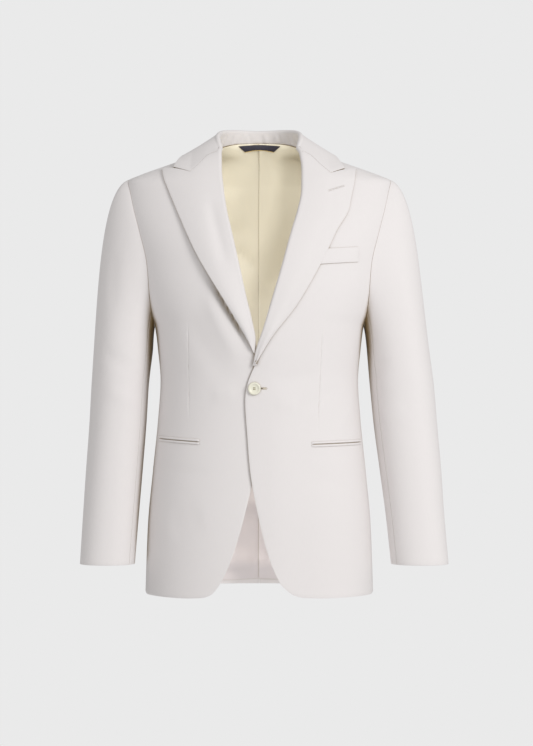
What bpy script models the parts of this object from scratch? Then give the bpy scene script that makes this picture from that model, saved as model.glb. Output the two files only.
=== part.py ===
"""A one-button dinner jacket with peak lapels, hollow, in the form it takes when it is worn.

Metres. +Z is up, -Y is the front and +X is the wearer's left.
The origin is the middle of the neck base, between the two shoulder-neck points.

The body of the jacket lies on one surface, body_point(angle, height). The angle goes round the girth
from 0 at the centre front, through 90 degrees at the side and the shoulder seam, to 180 at the centre
back. Every panel is a wall whose rows run between two seams on that surface. Both halves of the jacket
are made in their own side's coordinates, in which x grows towards that side, and then mirrored.
"""

import math
from collections import namedtuple

import bmesh
import bpy
from mathutils import Matrix, Vector
from mathutils.bvhtree import BVHTree

# ---- Driving sizes -------------------------------------------------------------------------------

SHARP_ANGLE = 40.0         # degrees between two faces, past which their edge is shaded sharp
CUT_TOLERANCE = 0.000001   # for a plane that cuts a strip out of a front
WELD_DISTANCE = 0.00001    # for the points where a turned shape closes
SEAM_GAP = 0.0003          # between two pieces that are sewn together
FRONT_CLOTH = 0.0020       # front with its canvas
BODY_CLOTH = 0.0018        # back, side and sleeve
LAPEL_CLOTH = 0.0025       # lapel and collar, two layers and canvas
LINING = 0.0010
LINING_CLEARANCE = 0.0025  # between the back and its lining
FOLD_RADIUS = 0.0020       # inside the roll of the lapels and collar

SHOULDER_TIP_HEIGHT = -0.0468
UNDERARM_HEIGHT = -0.290
HEM_FRONT_HEIGHT = -0.7325
HEM_BACK_HEIGHT = -0.7287
HEM_RISE_START = 65.0       # the girth angle where the hem starts to rise to the back
HEM_RISE_SPAN = 30.0
CUFF_HEIGHT = -0.683
BICEPS_HEIGHT = -0.335

ARMHOLE_HALF_ANGLE = 27.0   # half the width of the armhole, in degrees of girth
GIRTH_RADIUS = 0.17         # of the body by the armholes, to turn lengths into degrees
COLLAR_FRONT_ANGLE = {"left": 55.0, "right": 51.5}  # where the neck seam meets the lapel's roll
FRONT_SEAM_ANGLE = 82.0
BACK_SEAM_ANGLE = 108.0
BACK_SEAM_HEM_ANGLE = 112.0

OVERLAP_LIFT = 0.0036       # how far the buttoned front stands off the front under it
OVERLAP_OUTER = 0.080       # across, where it starts to rise
OVERLAP_TOP = -0.255        # the height below which it rises
OVERLAP_RAMP = 0.065        # the length over which it rises, either way
ROLL_GAP = 0.0005           # between the edge of a front and the roll that goes on from it
GORGE_GAP = 0.0007          # between the collar's end and the lapel, under the notch
BREAK_SHARE = 0.8           # of the roll's length, after which it flattens out
BREAK_FOLD_RADIUS = 0.0006  # inside the roll of a lapel where it flattens out at the break
END_REACH = 30.0            # degrees over which the collar's end bends to the gorge
GORGE_LIFT = 0.0055         # how far the gorge and the collar's ends stand off the body
LEAF_CROWN = 0.0015         # how much a turned-out face bows away from the body
LAPEL_STAND_OFF = {"left": 0.0012, "right": 0.0038}  # how much further out a lapel's edge stands

FRONT_COLUMNS = 10
FRONT_TIP_COLUMNS = [0.85, 0.95]  # more columns of a front, by the bend at the shoulder's tip
FRONT_DIAGONALS = "SHORT_EDGE"  # how the faces of a front are split
BACK_COLUMNS = 8
SIDE_COLUMNS = 3
ARMHOLE_FRONT_STEPS = 9
ARMHOLE_SIDE_STEPS = 3
ARMHOLE_BACK_STEPS = 8
SEAM_STEPS = 16             # from the armhole to the hem
CAP_STEPS = 6
SLEEVE_STEPS = 10           # from the biceps to the cuff
HEM_BEND_POWER = 5          # how fast the rows of a front straighten, away from its hem
UNDERARM_BEND_POWER = 4     # and those of a side body, away from the underarm
GORGE_BEND_POWER = 4        # and those of a lapel, away from its gorge
BACK_ROW_CROWDING = 1.35    # how much closer the rows of a back lie by the neck
FOLD_STEPS = 4
ROLL_STEPS = 12             # down the roll of a lapel
GORGE_STEPS = 4             # of the rows across a lapel or the collar's leaf, those on the gorge
NOTCH_STEPS = 2             # and those on the notch
NECK_FRONT_STEPS = 3        # from the roll of the lapel to the shoulder seam
NECK_BACK_STEPS = 6         # from the shoulder seam to the centre back
COLLAR_STAND_STEPS = 2

# The jacket's outer form, one row for each level of the body.
Level = namedtuple("Level", "height half_width front_depth back_depth squareness")
BODY_LEVELS = [
    Level(0.0450, 0.0620, 0.0480, 0.0640, 2.10),
    Level(0.0155, 0.0700, 0.0480, 0.0672, 2.10),
    Level(0.0030, 0.0785, 0.0475, 0.0755, 2.00),
    Level(-0.0060, 0.1055, 0.0490, 0.0810, 1.95),
    Level(-0.0210, 0.1500, 0.0550, 0.0885, 1.90),
    Level(-0.0407, 0.2042, 0.0640, 0.0955, 1.95),
    Level(-0.0468, 0.2175, 0.0670, 0.0975, 2.00),
    Level(-0.0530, 0.2205, 0.0705, 0.0990, 2.05),
    Level(-0.0900, 0.2222, 0.0895, 0.1075, 2.20),
    Level(-0.1350, 0.2165, 0.1080, 0.1140, 2.30),
    Level(-0.1800, 0.2055, 0.1205, 0.1160, 2.30),
    Level(-0.2360, 0.1935, 0.1285, 0.1115, 2.35),
    Level(-0.2700, 0.1825, 0.1295, 0.1050, 2.35),
    Level(-0.2900, 0.1738, 0.1290, 0.1005, 2.35),
    Level(-0.3300, 0.1685, 0.1255, 0.0925, 2.30),
    Level(-0.3800, 0.1643, 0.1205, 0.0865, 2.25),
    Level(-0.4400, 0.1680, 0.1190, 0.0885, 2.25),
    Level(-0.5300, 0.1770, 0.1215, 0.1020, 2.30),
    Level(-0.6200, 0.1853, 0.1240, 0.1145, 2.35),
    Level(-0.7400, 0.1897, 0.1240, 0.1200, 2.40),
]

# The sleeves, one row for each level. Left and right are the wearer's.
SleeveLevel = namedtuple(
    "SleeveLevel", "height right_outer right_inner left_outer left_inner middle_y half_depth")
SLEEVE_LEVELS = [
    SleeveLevel(-0.335, 0.2762, 0.1780, 0.2840, 0.1798, 0.004, 0.0625),
    SleeveLevel(-0.390, 0.2797, 0.1845, 0.2912, 0.1845, 0.004, 0.0610),
    SleeveLevel(-0.450, 0.2828, 0.1880, 0.2960, 0.1903, 0.001, 0.0580),
    SleeveLevel(-0.530, 0.2880, 0.1940, 0.3025, 0.2005, -0.008, 0.0530),
    SleeveLevel(-0.600, 0.2920, 0.1995, 0.3065, 0.2095, -0.018, 0.0490),
    SleeveLevel(-0.683, 0.2963, 0.2057, 0.3128, 0.2180, -0.032, 0.0445),
]
SLEEVE_SQUARENESS = 2.15
CAP_REACH = 0.044           # how far the cap's curve leaves the shoulder seam outwards
UNDERARM_REACH = 0.003
CAP_REACH_POWER = 0.7       # how fast that reach falls off towards the underarm
ARM_TANGENT_LENGTH = 0.02   # below the biceps, over which the arm's direction is taken
CAP_DROP = 0.0125
CAP_LENGTH = 0.125          # how far up from the biceps the cap's curve starts to bend
UNDERARM_LENGTH = 0.014
SLEEVE_RADIUS = 0.05        # of the sleeve, to turn lengths into degrees
UNDER_SLEEVE_FIRST = 8      # ring columns between which the under sleeve lies
UNDER_SLEEVE_LAST = 13

# The roll of the lapels and the front edges, and the outer edges of the lapels, as points across and
# up. In each half, across is measured towards that half's own side.
Spot = namedtuple("Spot", "across height")
ROLL = {
    "left": [Spot(0.0740, -0.0347), Spot(0.0735, -0.0691), Spot(0.0673, -0.1029),
             Spot(0.0572, -0.1363), Spot(0.0392, -0.2018), Spot(0.0248, -0.2504),
             Spot(0.0109, -0.2987), Spot(0.0026, -0.3280)],
    "right": [Spot(0.0659, -0.0347), Spot(0.0624, -0.0691), Spot(0.0573, -0.1029),
              Spot(0.0496, -0.1363), Spot(0.0348, -0.2018), Spot(0.0271, -0.2504),
              Spot(0.0186, -0.2858), Spot(0.0140, -0.3170)],
}
FRONT_EDGE = {
    "left": [Spot(-0.0070, -0.3560), Spot(-0.0165, -0.3793), Spot(-0.0213, -0.3980),
             Spot(-0.0223, -0.4137), Spot(-0.0194, -0.4627), Spot(-0.0146, -0.5242),
             Spot(-0.0051, -0.5810), Spot(0.0093, -0.6440), Spot(0.0224, -0.6840),
             Spot(0.0340, -0.7090)],
    "right": [Spot(0.0100, -0.3340), Spot(-0.0015, -0.3560), Spot(-0.0060, -0.3800),
              Spot(-0.0065, -0.4150), Spot(-0.0035, -0.4700), Spot(0.0030, -0.5200),
              Spot(0.0124, -0.5536), Spot(0.0297, -0.6222), Spot(0.0513, -0.6855),
              Spot(0.0655, -0.7130)],
}
HEM_ROUND = {
    "left": [Spot(0.0340, -0.7090), Spot(0.0452, -0.7200), Spot(0.0568, -0.7280),
             Spot(0.0741, -0.7320), Spot(0.1120, -0.7335)],
    "right": [Spot(0.0655, -0.7130), Spot(0.0744, -0.7240), Spot(0.0815, -0.7290),
              Spot(0.0931, -0.7325), Spot(0.1250, -0.7340)],
}
LAPEL_EDGE = {
    "left": [Spot(0.1598, -0.0277), Spot(0.1574, -0.0492), Spot(0.1518, -0.0754),
             Spot(0.1465, -0.1007), Spot(0.1272, -0.1343), Spot(0.1094, -0.1722),
             Spot(0.0870, -0.2147), Spot(0.0596, -0.2600), Spot(0.0209, -0.3100),
             Spot(-0.0035, -0.3500)],
    "right": [Spot(0.1610, -0.0277), Spot(0.1578, -0.0439), Spot(0.1486, -0.0685),
              Spot(0.1344, -0.1023), Spot(0.1200, -0.1359), Spot(0.1047, -0.1689),
              Spot(0.0863, -0.2018), Spot(0.0565, -0.2504), Spot(0.0372, -0.2826),
              Spot(0.0194, -0.3148)],
}
GORGE = [Spot(0.0845, -0.0075), Spot(0.0977, -0.0210)]
NOTCH = {"left": Spot(0.1173, -0.0385), "right": Spot(0.1137, -0.0362)}
NOTCH_MOUTH = {"left": Spot(0.1410, -0.0305), "right": Spot(0.1420, -0.0282)}
COLLAR_END_RISE = 0.0010    # of the collar's corner over the notch's mouth
PEAK_TOP_DROP = 0.0010      # of the lapel's peak under it

# The collar, one row for each station from the gorge round to the centre back. The angle is where the
# neck seam and the roll are, and the outer edge has its own.
Station = namedtuple("Station", "angle seam_height roll_height edge_angle edge_height edge_lift")
COLLAR = [
    Station(51.5, 0.0000, 0.0008, 63.8, -0.0246, 0.0060),
    Station(60.0, 0.0006, 0.0075, 71.0, -0.0185, 0.0080),
    Station(75.0, 0.0022, 0.0180, 82.0, -0.0130, 0.0080),
    Station(90.0, 0.0040, 0.0262, 94.0, -0.0100, 0.0065),
    Station(120.0, 0.0125, 0.0352, 120.0, -0.0075, 0.0055),
    Station(150.0, 0.0185, 0.0378, 150.0, -0.0065, 0.0055),
    Station(180.0, 0.0200, 0.0372, 180.0, -0.0060, 0.0060),
]

# Pockets, button and label
POCKET_ENDS = {"left": (Spot(0.0855, -0.4838), Spot(0.1690, -0.4816)),
               "right": (Spot(0.0967, -0.4800), Spot(0.1661, -0.4757))}
JET_HEIGHT = 0.0044
JET_CLOTH = 0.0018
WELT_TOP = (Spot(0.0900, -0.1672), Spot(0.1625, -0.1622))
WELT_BOTTOM = (Spot(0.0850, -0.1925), Spot(0.1620, -0.1867))
WELT_CLOTH = 0.0022
BUTTON_PLACE = Spot(-0.0077, -0.3930)
BUTTON_RADIUS = 0.0104
BUTTON_HEIGHT = 0.0042
BUTTON_STAND_OFF = 0.0005
BUTTON_SEGMENTS = 32
BUTTONHOLE_MIDDLE = 0.0007  # across
BUTTONHOLE_LENGTH = 0.0215
BUTTONHOLE_HEIGHT = 0.0026
SHANK_RADIUS = 0.0010       # the thread that holds the button, through the buttonhole
LABEL_HALF_WIDTHS = (0.0360, 0.0246)  # at its top and its bottom
LABEL_MIDDLE_HEIGHTS = (0.0176, 0.0090)
LABEL_END_DROP = 0.0028     # its ends hang lower than its middle
LABEL_CLOTH = 0.0010
LABEL_ROWS = 2
LABEL_COLUMNS = 10
LABEL_CLEARANCE = 0.0008
LINING_TOP_RISE = 0.0004    # past the seam between the back and the collar
LINING_HEM_RISE = 0.008
LINING_SIDE_GAPS = 4        # half seam gaps between the lining and the side seam
LINING_PLEAT_SHARES = [0.0, 0.025, 0.06]  # where its first columns lie, by the pleat
PLEAT_DEPTH = 0.0030
PLEAT_START = 168.0         # degrees of girth, where the left half starts to lift over the right one
PLEAT_RAMP = 8.0
PLEAT_REACH = 2.2           # degrees of girth that the left half passes the centre
PLEAT_GAP = 0.2             # degrees that the right half stops short of the centre

Paint = namedtuple("Paint", "colour roughness metallic")
PAINTS = {
    "ivory_wool": Paint((0.80, 0.76, 0.72), 0.85, 0.0),
    "ivory_satin": Paint((0.73, 0.68, 0.53), 0.45, 0.0),
    "ivory_button": Paint((0.83, 0.79, 0.66), 0.30, 0.0),
    "dark_label": Paint((0.02, 0.02, 0.03), 0.60, 0.0),
}


# ---- Curves --------------------------------------------------------------------------------------

def smooth_curve(knots):
    """Return a smooth function through (place, value) knots that never swings past them."""
    knots = sorted(knots)
    places = [place for place, _ in knots]
    values = [value for _, value in knots]
    slopes = [(values[i + 1] - values[i]) / (places[i + 1] - places[i]) for i in range(len(knots) - 1)]
    tangents = [slopes[0]]
    for before, after in zip(slopes, slopes[1:]):
        tangents.append(2 * before * after / (before + after) if before * after > 0 else 0.0)
    tangents.append(slopes[-1])

    def value_at(place):
        place = min(max(place, places[0]), places[-1])
        i = min(sum(place >= p for p in places[1:]), len(places) - 2)
        step = places[i + 1] - places[i]
        t = (place - places[i]) / step
        return ((1 + 2 * t) * (1 - t) ** 2 * values[i] + t * (1 - t) ** 2 * step * tangents[i]
                + t * t * (3 - 2 * t) * values[i + 1] + t * t * (t - 1) * step * tangents[i + 1])

    return value_at


def path(spots):
    """Return a function of 0..1 along the smooth line through spots, even in length."""
    lengths = [0.0]
    for a, b in zip(spots, spots[1:]):
        lengths.append(lengths[-1] + math.hypot(b.across - a.across, b.height - a.height))
    shares = [length / lengths[-1] for length in lengths]
    across = smooth_curve(list(zip(shares, [spot.across for spot in spots])))
    height = smooth_curve(list(zip(shares, [spot.height for spot in spots])))
    return lambda share: Spot(across(share), height(share))


def blend(a, b, share):
    return a + (b - a) * share


def ease(share):
    """Go from 0 to 1 with no corner at either end."""
    share = min(max(share, 0.0), 1.0)
    return share * share * (3 - 2 * share)


def steps(count):
    return [i / count for i in range(count + 1)]


# ---- The body surface ----------------------------------------------------------------------------

BODY = {name: smooth_curve([(level.height, getattr(level, name)) for level in BODY_LEVELS])
        for name in Level._fields[1:]}


def signed_power(base, power):
    return math.copysign(abs(base) ** power, base)


def body_form(angle, height):
    """A point of the jacket's outer form, for an angle in degrees."""
    turn = math.radians(angle)
    power = 2 / BODY["squareness"](height)
    depth = BODY["front_depth"] if math.cos(turn) > 0 else BODY["back_depth"]
    return Vector((BODY["half_width"](height) * signed_power(math.sin(turn), power),
                   -depth(height) * signed_power(math.cos(turn), power),
                   height))


def body_normal(angle, height):
    """The outward direction of the form."""
    d_angle, d_height = 0.5, 0.0005
    around = body_form(angle + d_angle, height) - body_form(angle - d_angle, height)
    down = body_form(angle, height - d_height) - body_form(angle, height + d_height)
    return around.cross(down).normalized() * -1


def body_point(angle, height, lift=0.0):
    return body_form(angle, height) + body_normal(angle, height) * lift


def angle_of(spot):
    """The girth angle, on the front, of a point given by how far across and how high it is."""
    share = min(abs(spot.across) / BODY["half_width"](spot.height), 1.0)
    return math.copysign(math.degrees(math.asin(share ** (BODY["squareness"](spot.height) / 2))),
                         spot.across)


def on_body(spot):
    return angle_of(spot), spot.height


def over_body(spot, lift):
    """The point that stands this far off the form and shows at a spot when seen from the front."""
    aim = spot
    for _ in range(3):
        point = body_point(*on_body(aim), lift)
        aim = Spot(aim.across + spot.across - point.x, aim.height + spot.height - point.z)
    return body_point(*on_body(aim), lift)


def hem_height(angle):
    return blend(HEM_FRONT_HEIGHT, HEM_BACK_HEIGHT, ease((angle - HEM_RISE_START) / HEM_RISE_SPAN))


def armhole(turn, grow=0.0):
    """The armhole seam: 0 degrees at the shoulder tip, 180 under the arm, by way of the front."""
    middle = (SHOULDER_TIP_HEIGHT + UNDERARM_HEIGHT) / 2
    half_height = (SHOULDER_TIP_HEIGHT - UNDERARM_HEIGHT) / 2 + grow
    half_angle = ARMHOLE_HALF_ANGLE + math.degrees(grow / GIRTH_RADIUS)
    return (90 - half_angle * math.sin(math.radians(turn)),
            middle + half_height * math.cos(math.radians(turn)))


FRONT_SEAM_TURN = 180 - math.degrees(math.asin((90 - FRONT_SEAM_ANGLE) / ARMHOLE_HALF_ANGLE))
BACK_SEAM_TURN = 180 + math.degrees(math.asin((BACK_SEAM_ANGLE - 90) / ARMHOLE_HALF_ANGLE))


def spread(start, end, count):
    return [blend(start, end, share) for share in steps(count)]


ARMHOLE_TURNS = (spread(0, FRONT_SEAM_TURN, ARMHOLE_FRONT_STEPS)
                 + spread(FRONT_SEAM_TURN, BACK_SEAM_TURN, ARMHOLE_SIDE_STEPS)[1:]
                 + spread(BACK_SEAM_TURN, 360, ARMHOLE_BACK_STEPS)[1:])


# ---- Making solids -------------------------------------------------------------------------------

def new_object(name, paint, mesh):
    mesh.materials.append(bpy.data.materials[paint])
    mesh.shade_smooth()
    mesh.set_sharp_from_angle(angle=math.radians(SHARP_ANGLE))
    thing = bpy.data.objects.new(name, mesh)
    bpy.data.collections["dinner_jacket"].objects.link(thing)
    return thing


def grid_faces(work, rows, mirror, diagonals="FIXED"):
    """Lay triangles through a grid of points and return its vertices."""
    grid = bmesh.ops.create_grid(work, x_segments=len(rows[0]) - 1, y_segments=len(rows) - 1, size=1.0)
    for vert, point in zip(grid["verts"], [point for row in rows for point in row]):
        vert.co = (point.x * mirror, point.y, point.z)
    bmesh.ops.triangulate(work, faces=work.faces[:], quad_method=diagonals)
    return grid["verts"]


def closed_wall(name, paint, work, far_place):
    """Extrude a sheet to the places that a layer holds, which closes it into a wall of cloth."""
    extruded = bmesh.ops.extrude_face_region(work, geom=work.faces[:])
    for item in extruded["geom"]:
        if isinstance(item, bmesh.types.BMVert):
            item.co = item[far_place]
    bmesh.ops.recalc_face_normals(work, faces=work.faces[:])
    work.verts.layers.float_vector.remove(far_place)
    mesh = bpy.data.meshes.new(name)
    work.to_mesh(mesh)
    work.free()
    return new_object(name, paint, mesh)


def wall(name, paint, outer_rows, inner_rows, side="left", cut=None, diagonals="FIXED"):
    """A closed wall of cloth between two grids of points, mirrored for the right side. cut is a
    function that takes something out of the sheet before it is closed, and diagonals says how each
    four-sided face is split in two."""
    mirror = -1 if side == "right" else 1
    work = bmesh.new()
    far_place = work.verts.layers.float_vector.new("far_place")
    inner = [point for row in inner_rows for point in row]
    for vert, inside in zip(grid_faces(work, outer_rows, mirror, diagonals), inner):
        vert[far_place] = (inside.x * mirror, inside.y, inside.z)
    if cut:
        cut(work)
    return closed_wall(name, paint, work, far_place)


def body_rows(rows, lift):
    """The points of a grid of (angle, height), raised off the form by a function of both."""
    return [[body_point(angle, height, lift(angle, height)) for angle, height in row] for row in rows]


def flat_lift(angle, height):
    """The lift of a panel that lies on the form itself."""
    return 0.0


def body_wall(name, paint, rows, thickness, side, lift=flat_lift, cut=None, diagonals="FIXED"):
    """A wall on the body's form, from rows of (angle, height)."""
    inner = body_rows(rows, lambda angle, height: lift(angle, height) - thickness)
    return wall(name, paint, body_rows(rows, lift), inner, side, cut, diagonals)


def grid_normal(rows, i, j):
    """The average direction of the faces round one point of a grid."""
    down = rows[min(i + 1, len(rows) - 1)][j] - rows[max(i - 1, 0)][j]
    across = rows[i][min(j + 1, len(rows[i]) - 1)] - rows[i][max(j - 1, 0)]
    return down.cross(across).normalized()


def turned_wall(name, rows, known, side, facing):
    """A lapel or collar: behind the first points of each row its back is known, and the rest is square."""
    inner = []
    for i, row in enumerate(rows):
        line = list(known[i])
        for j in range(len(line), len(row)):
            line.append(row[j] - grid_normal(rows, i, j) * (facing * LAPEL_CLOTH))
        inner.append(line)
    return wall(name, "ivory_wool", rows, inner, side)


def ruled(starts, ends, shares):
    """Rows of (angle, height) from each start to its end."""
    return [[(blend(a0, a1, share), blend(h0, h1, share)) for share in shares]
            for (a0, h0), (a1, h1) in zip(starts, ends)]


def gap_angle(height):
    """Half a seam gap, in degrees of girth."""
    return math.degrees(SEAM_GAP / 2 / BODY["half_width"](height))


def shifted(line, share):
    """A seam line moved along the girth by so many half gaps."""
    return [(angle + share * gap_angle(height), height) for angle, height in line]


# ---- Body panels ---------------------------------------------------------------------------------

def armhole_line(first, last):
    return [armhole(turn, grow=SEAM_GAP) for turn in ARMHOLE_TURNS[first:last + 1]]


def seam_line(start, end_angle, count):
    """A seam from a point of the armhole down to the hem, without that first point."""
    angle, height = start
    line = []
    for share in steps(count)[1:]:
        here = blend(angle, end_angle, share)
        line.append((here, blend(height, hem_height(end_angle), share)))
    return line


def overlap_lift(side):
    """How far a front is raised: the buttoned left front rises over the right one."""
    def lift(angle, height):
        across = body_form(angle, height).x
        return (OVERLAP_LIFT * ease((OVERLAP_OUTER - across) / OVERLAP_RAMP)
                * ease((OVERLAP_TOP - height) / OVERLAP_RAMP))

    return lift if side == "left" else flat_lift


def collar_curve(column):
    return smooth_curve([(station.angle, getattr(station, column)) for station in COLLAR])


def neck_line(start, end, count):
    """The seam between the body and the collar."""
    seam_height = collar_curve("seam_height")
    return [(angle, seam_height(angle)) for angle in spread(start, end, count)]


def lapel_roll(side):
    """The roll of the lapel, from the collar to where it ends at the front edge."""
    top = body_form(*neck_line(COLLAR_FRONT_ANGLE[side], 90.0, 1)[0])
    return path([Spot(top.x, top.z)] + ROLL[side] + [FRONT_EDGE[side][0]])


def front_shares():
    return sorted(steps(FRONT_COLUMNS) + FRONT_TIP_COLUMNS)


def front_grid(side):
    """Rows of (angle, height), each from the neck, roll or front edge to the armhole or side seam."""
    rows = ARMHOLE_FRONT_STEPS + SEAM_STEPS
    neck = neck_line(90.0, COLLAR_FRONT_ANGLE[side], NECK_FRONT_STEPS)[:-1]
    roll = lapel_roll(side)
    edge = path(FRONT_EDGE[side])
    inner = neck + [on_body(roll(share)) for share in steps(ROLL_STEPS)]
    inner += [on_body(edge(share)) for share in steps(rows - len(neck) - ROLL_STEPS)[1:]]
    inner[0] = (inner[0][0] - gap_angle(inner[0][1]), inner[0][1])
    outer = armhole_line(0, ARMHOLE_FRONT_STEPS)
    outer[0] = (outer[0][0] - gap_angle(outer[0][1]), outer[0][1])
    outer += seam_line(outer[-1], FRONT_SEAM_ANGLE, SEAM_STEPS)
    outer = outer[:1] + shifted(outer[1:], -1)
    grid = ruled(inner, outer, front_shares())
    bend_to_hem(grid, side)
    return grid


def bend_to_hem(grid, side):
    """Pull the lowest rows of a front onto its hem, which rounds away to the front edge."""
    seam = body_form(FRONT_SEAM_ANGLE, HEM_FRONT_HEIGHT)
    hem = path(HEM_ROUND[side] + [Spot(seam.x, HEM_FRONT_HEIGHT)])
    bottom = [on_body(hem(share)) for share in front_shares()]
    bottom[-1] = grid[-1][-1]
    change = [(b[0] - g[0], b[1] - g[1]) for b, g in zip(bottom, grid[-1])]
    for i, row in enumerate(grid):
        share = (i / (len(grid) - 1)) ** HEM_BEND_POWER
        grid[i] = [(angle + d_angle * share, height + d_height * share)
                   for (angle, height), (d_angle, d_height) in zip(row, change)]


def back_edges(top_rise=0.0, hem_rise=0.0):
    """The two lines of (angle, height) that a back lies between: neck and centre, armhole and side."""
    inner = [(angle, height + top_rise) for angle, height in neck_line(90.0, 180.0, NECK_BACK_STEPS)]
    top = inner[-1][1]
    for share in steps(ARMHOLE_BACK_STEPS + SEAM_STEPS - NECK_BACK_STEPS)[1:]:
        inner.append((180, blend(top, hem_height(180) + hem_rise, share ** BACK_ROW_CROWDING)))
    turns = range(len(ARMHOLE_TURNS) - 1, len(ARMHOLE_TURNS) - 2 - ARMHOLE_BACK_STEPS, -1)
    outer = [armhole(ARMHOLE_TURNS[k], grow=SEAM_GAP) for k in turns]
    seam = seam_line(outer[-1], BACK_SEAM_HEM_ANGLE, SEAM_STEPS)
    outer += [(angle, height + hem_rise * share) for (angle, height), share
              in zip(seam, steps(SEAM_STEPS)[1:])]
    return inner, outer


def back_panel(side):
    inner, outer = back_edges()
    inner[0] = (inner[0][0] + gap_angle(inner[0][1]), inner[0][1])
    outer[0] = (outer[0][0] + gap_angle(outer[0][1]), outer[0][1])
    inner = [(min(angle, 180 - 2 * gap_angle(height)), height) for angle, height in inner]
    outer = outer[:1] + shifted(outer[1:], 1)
    grid = ruled(inner, outer, steps(BACK_COLUMNS))
    return body_wall(f"back_{side}", "ivory_wool", grid, BODY_CLOTH, side)


def side_panel(side):
    first, last = ARMHOLE_FRONT_STEPS, ARMHOLE_FRONT_STEPS + ARMHOLE_SIDE_STEPS
    top = armhole_line(first, last)
    front = shifted([top[0]] + seam_line(top[0], FRONT_SEAM_ANGLE, SEAM_STEPS), 1)
    back = shifted([top[-1]] + seam_line(top[-1], BACK_SEAM_HEM_ANGLE, SEAM_STEPS), -1)
    grid = ruled(front, back, steps(SIDE_COLUMNS))
    change = [(t[0] - g[0], t[1] - g[1]) for t, g in zip(top, grid[0])]
    change[0] = change[-1] = (0.0, 0.0)
    for i, row in enumerate(grid):
        share = (1 - i / (len(grid) - 1)) ** UNDERARM_BEND_POWER
        grid[i] = [(angle + d_angle * share, height + d_height * share)
                   for (angle, height), (d_angle, d_height) in zip(row, change)]
    return body_wall(f"side_{side}", "ivory_wool", grid, BODY_CLOTH, side)


# ---- Sleeves -------------------------------------------------------------------------------------

def sleeve_levels(side):
    heights = [level.height for level in SLEEVE_LEVELS]
    outer = [getattr(level, f"{side}_outer") for level in SLEEVE_LEVELS]
    inner = [getattr(level, f"{side}_inner") for level in SLEEVE_LEVELS]
    return {
        "middle_x": smooth_curve([(h, (o + i) / 2) for h, o, i in zip(heights, outer, inner)]),
        "half_width": smooth_curve([(h, (o - i) / 2) for h, o, i in zip(heights, outer, inner)]),
        "middle_y": smooth_curve([(level.height, level.middle_y) for level in SLEEVE_LEVELS]),
        "half_depth": smooth_curve([(level.height, level.half_depth) for level in SLEEVE_LEVELS]),
    }


def sleeve_ring(levels, turn, height):
    power = 2 / SLEEVE_SQUARENESS
    across = signed_power(math.cos(math.radians(turn)), power)
    along = signed_power(math.sin(math.radians(turn)), power)
    return Vector((levels["middle_x"](height) + levels["half_width"](height) * across,
                   levels["middle_y"](height) - levels["half_depth"](height) * along,
                   height))


def sleeve_point(levels, turn, share):
    """The sleeve's outer form: share 0..1 is the cap and 1..2 the arm."""
    if share > 1:
        return sleeve_ring(levels, turn, blend(BICEPS_HEIGHT, CUFF_HEIGHT, share - 1))
    under = (1 - math.cos(math.radians(turn))) / 2
    start = body_point(*armhole(turn), SEAM_GAP)
    end = sleeve_ring(levels, turn, BICEPS_HEIGHT)
    leave = Vector((blend(CAP_REACH, UNDERARM_REACH, under ** CAP_REACH_POWER), 0.0, -CAP_DROP))
    arrive = (end - sleeve_ring(levels, turn, BICEPS_HEIGHT - ARM_TANGENT_LENGTH)).normalized()
    before_end = end + arrive * blend(CAP_LENGTH, UNDERARM_LENGTH, under)
    t = share
    return (start * (1 - t) ** 3 + (start + leave) * (3 * t * (1 - t) ** 2)
            + before_end * (3 * t * t * (1 - t)) + end * t ** 3)


def sleeve_normal(levels, turn, share):
    d_turn, d_share = 1.0, 0.01
    low, high = max(share - d_share, 0.0), min(share + d_share, 2.0)
    around = sleeve_point(levels, turn + d_turn, share) - sleeve_point(levels, turn - d_turn, share)
    down = sleeve_point(levels, turn, high) - sleeve_point(levels, turn, low)
    return around.cross(down).normalized()


def sleeve_piece(name, side, turns):
    levels = sleeve_levels(side)
    shares = steps(CAP_STEPS) + [1 + share for share in steps(SLEEVE_STEPS)[1:]]
    half_gap = math.degrees(SEAM_GAP / 2 / SLEEVE_RADIUS)
    turns = [turns[0] + half_gap] + turns[1:-1] + [turns[-1] - half_gap]
    outer = [[sleeve_point(levels, turn, share) for turn in turns] for share in shares]
    inner = [[sleeve_point(levels, turn, share) - sleeve_normal(levels, turn, share) * BODY_CLOTH
              for turn in turns] for share in shares]
    return wall(name, "ivory_wool", outer, inner, side)


def sleeve(side):
    under = ARMHOLE_TURNS[UNDER_SLEEVE_FIRST:UNDER_SLEEVE_LAST + 1]
    over = ([turn - 360 for turn in ARMHOLE_TURNS[UNDER_SLEEVE_LAST:-1]]
            + ARMHOLE_TURNS[:UNDER_SLEEVE_FIRST + 1])
    sleeve_piece(f"sleeve_top_{side}", side, over)
    sleeve_piece(f"sleeve_under_{side}", side, under)


# ---- Lapels and collar ---------------------------------------------------------------------------

def fold(place, normal, towards_fold, radius=FOLD_RADIUS):
    """The roll: half a turn of cloth from the edge of a panel outwards, as its far and near points."""
    centre = place + normal * radius
    spokes = [towards_fold * math.sin(math.pi * share) - normal * math.cos(math.pi * share)
              for share in steps(FOLD_STEPS)]
    return ([centre + spoke * (radius + LAPEL_CLOTH) for spoke in spokes],
            [centre + spoke * radius for spoke in spokes])


def roll_line(side):
    """The whole roll as (angle, height), from the centre back round to the front edge."""
    roll_height = collar_curve("roll_height")
    roll = lapel_roll(side)
    collar_part = [(angle, roll_height(angle)) for angle in reversed(collar_angles(side))]
    return collar_part + [on_body(roll(share)) for share in steps(ROLL_STEPS)[1:]]


def fold_direction(line, i, normal):
    """Square to the roll and along the body, towards the opening of the neck."""
    before, after = body_form(*line[max(i - 1, 0)]), body_form(*line[min(i + 1, len(line) - 1)])
    return (after - before).cross(normal).normalized()


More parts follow.
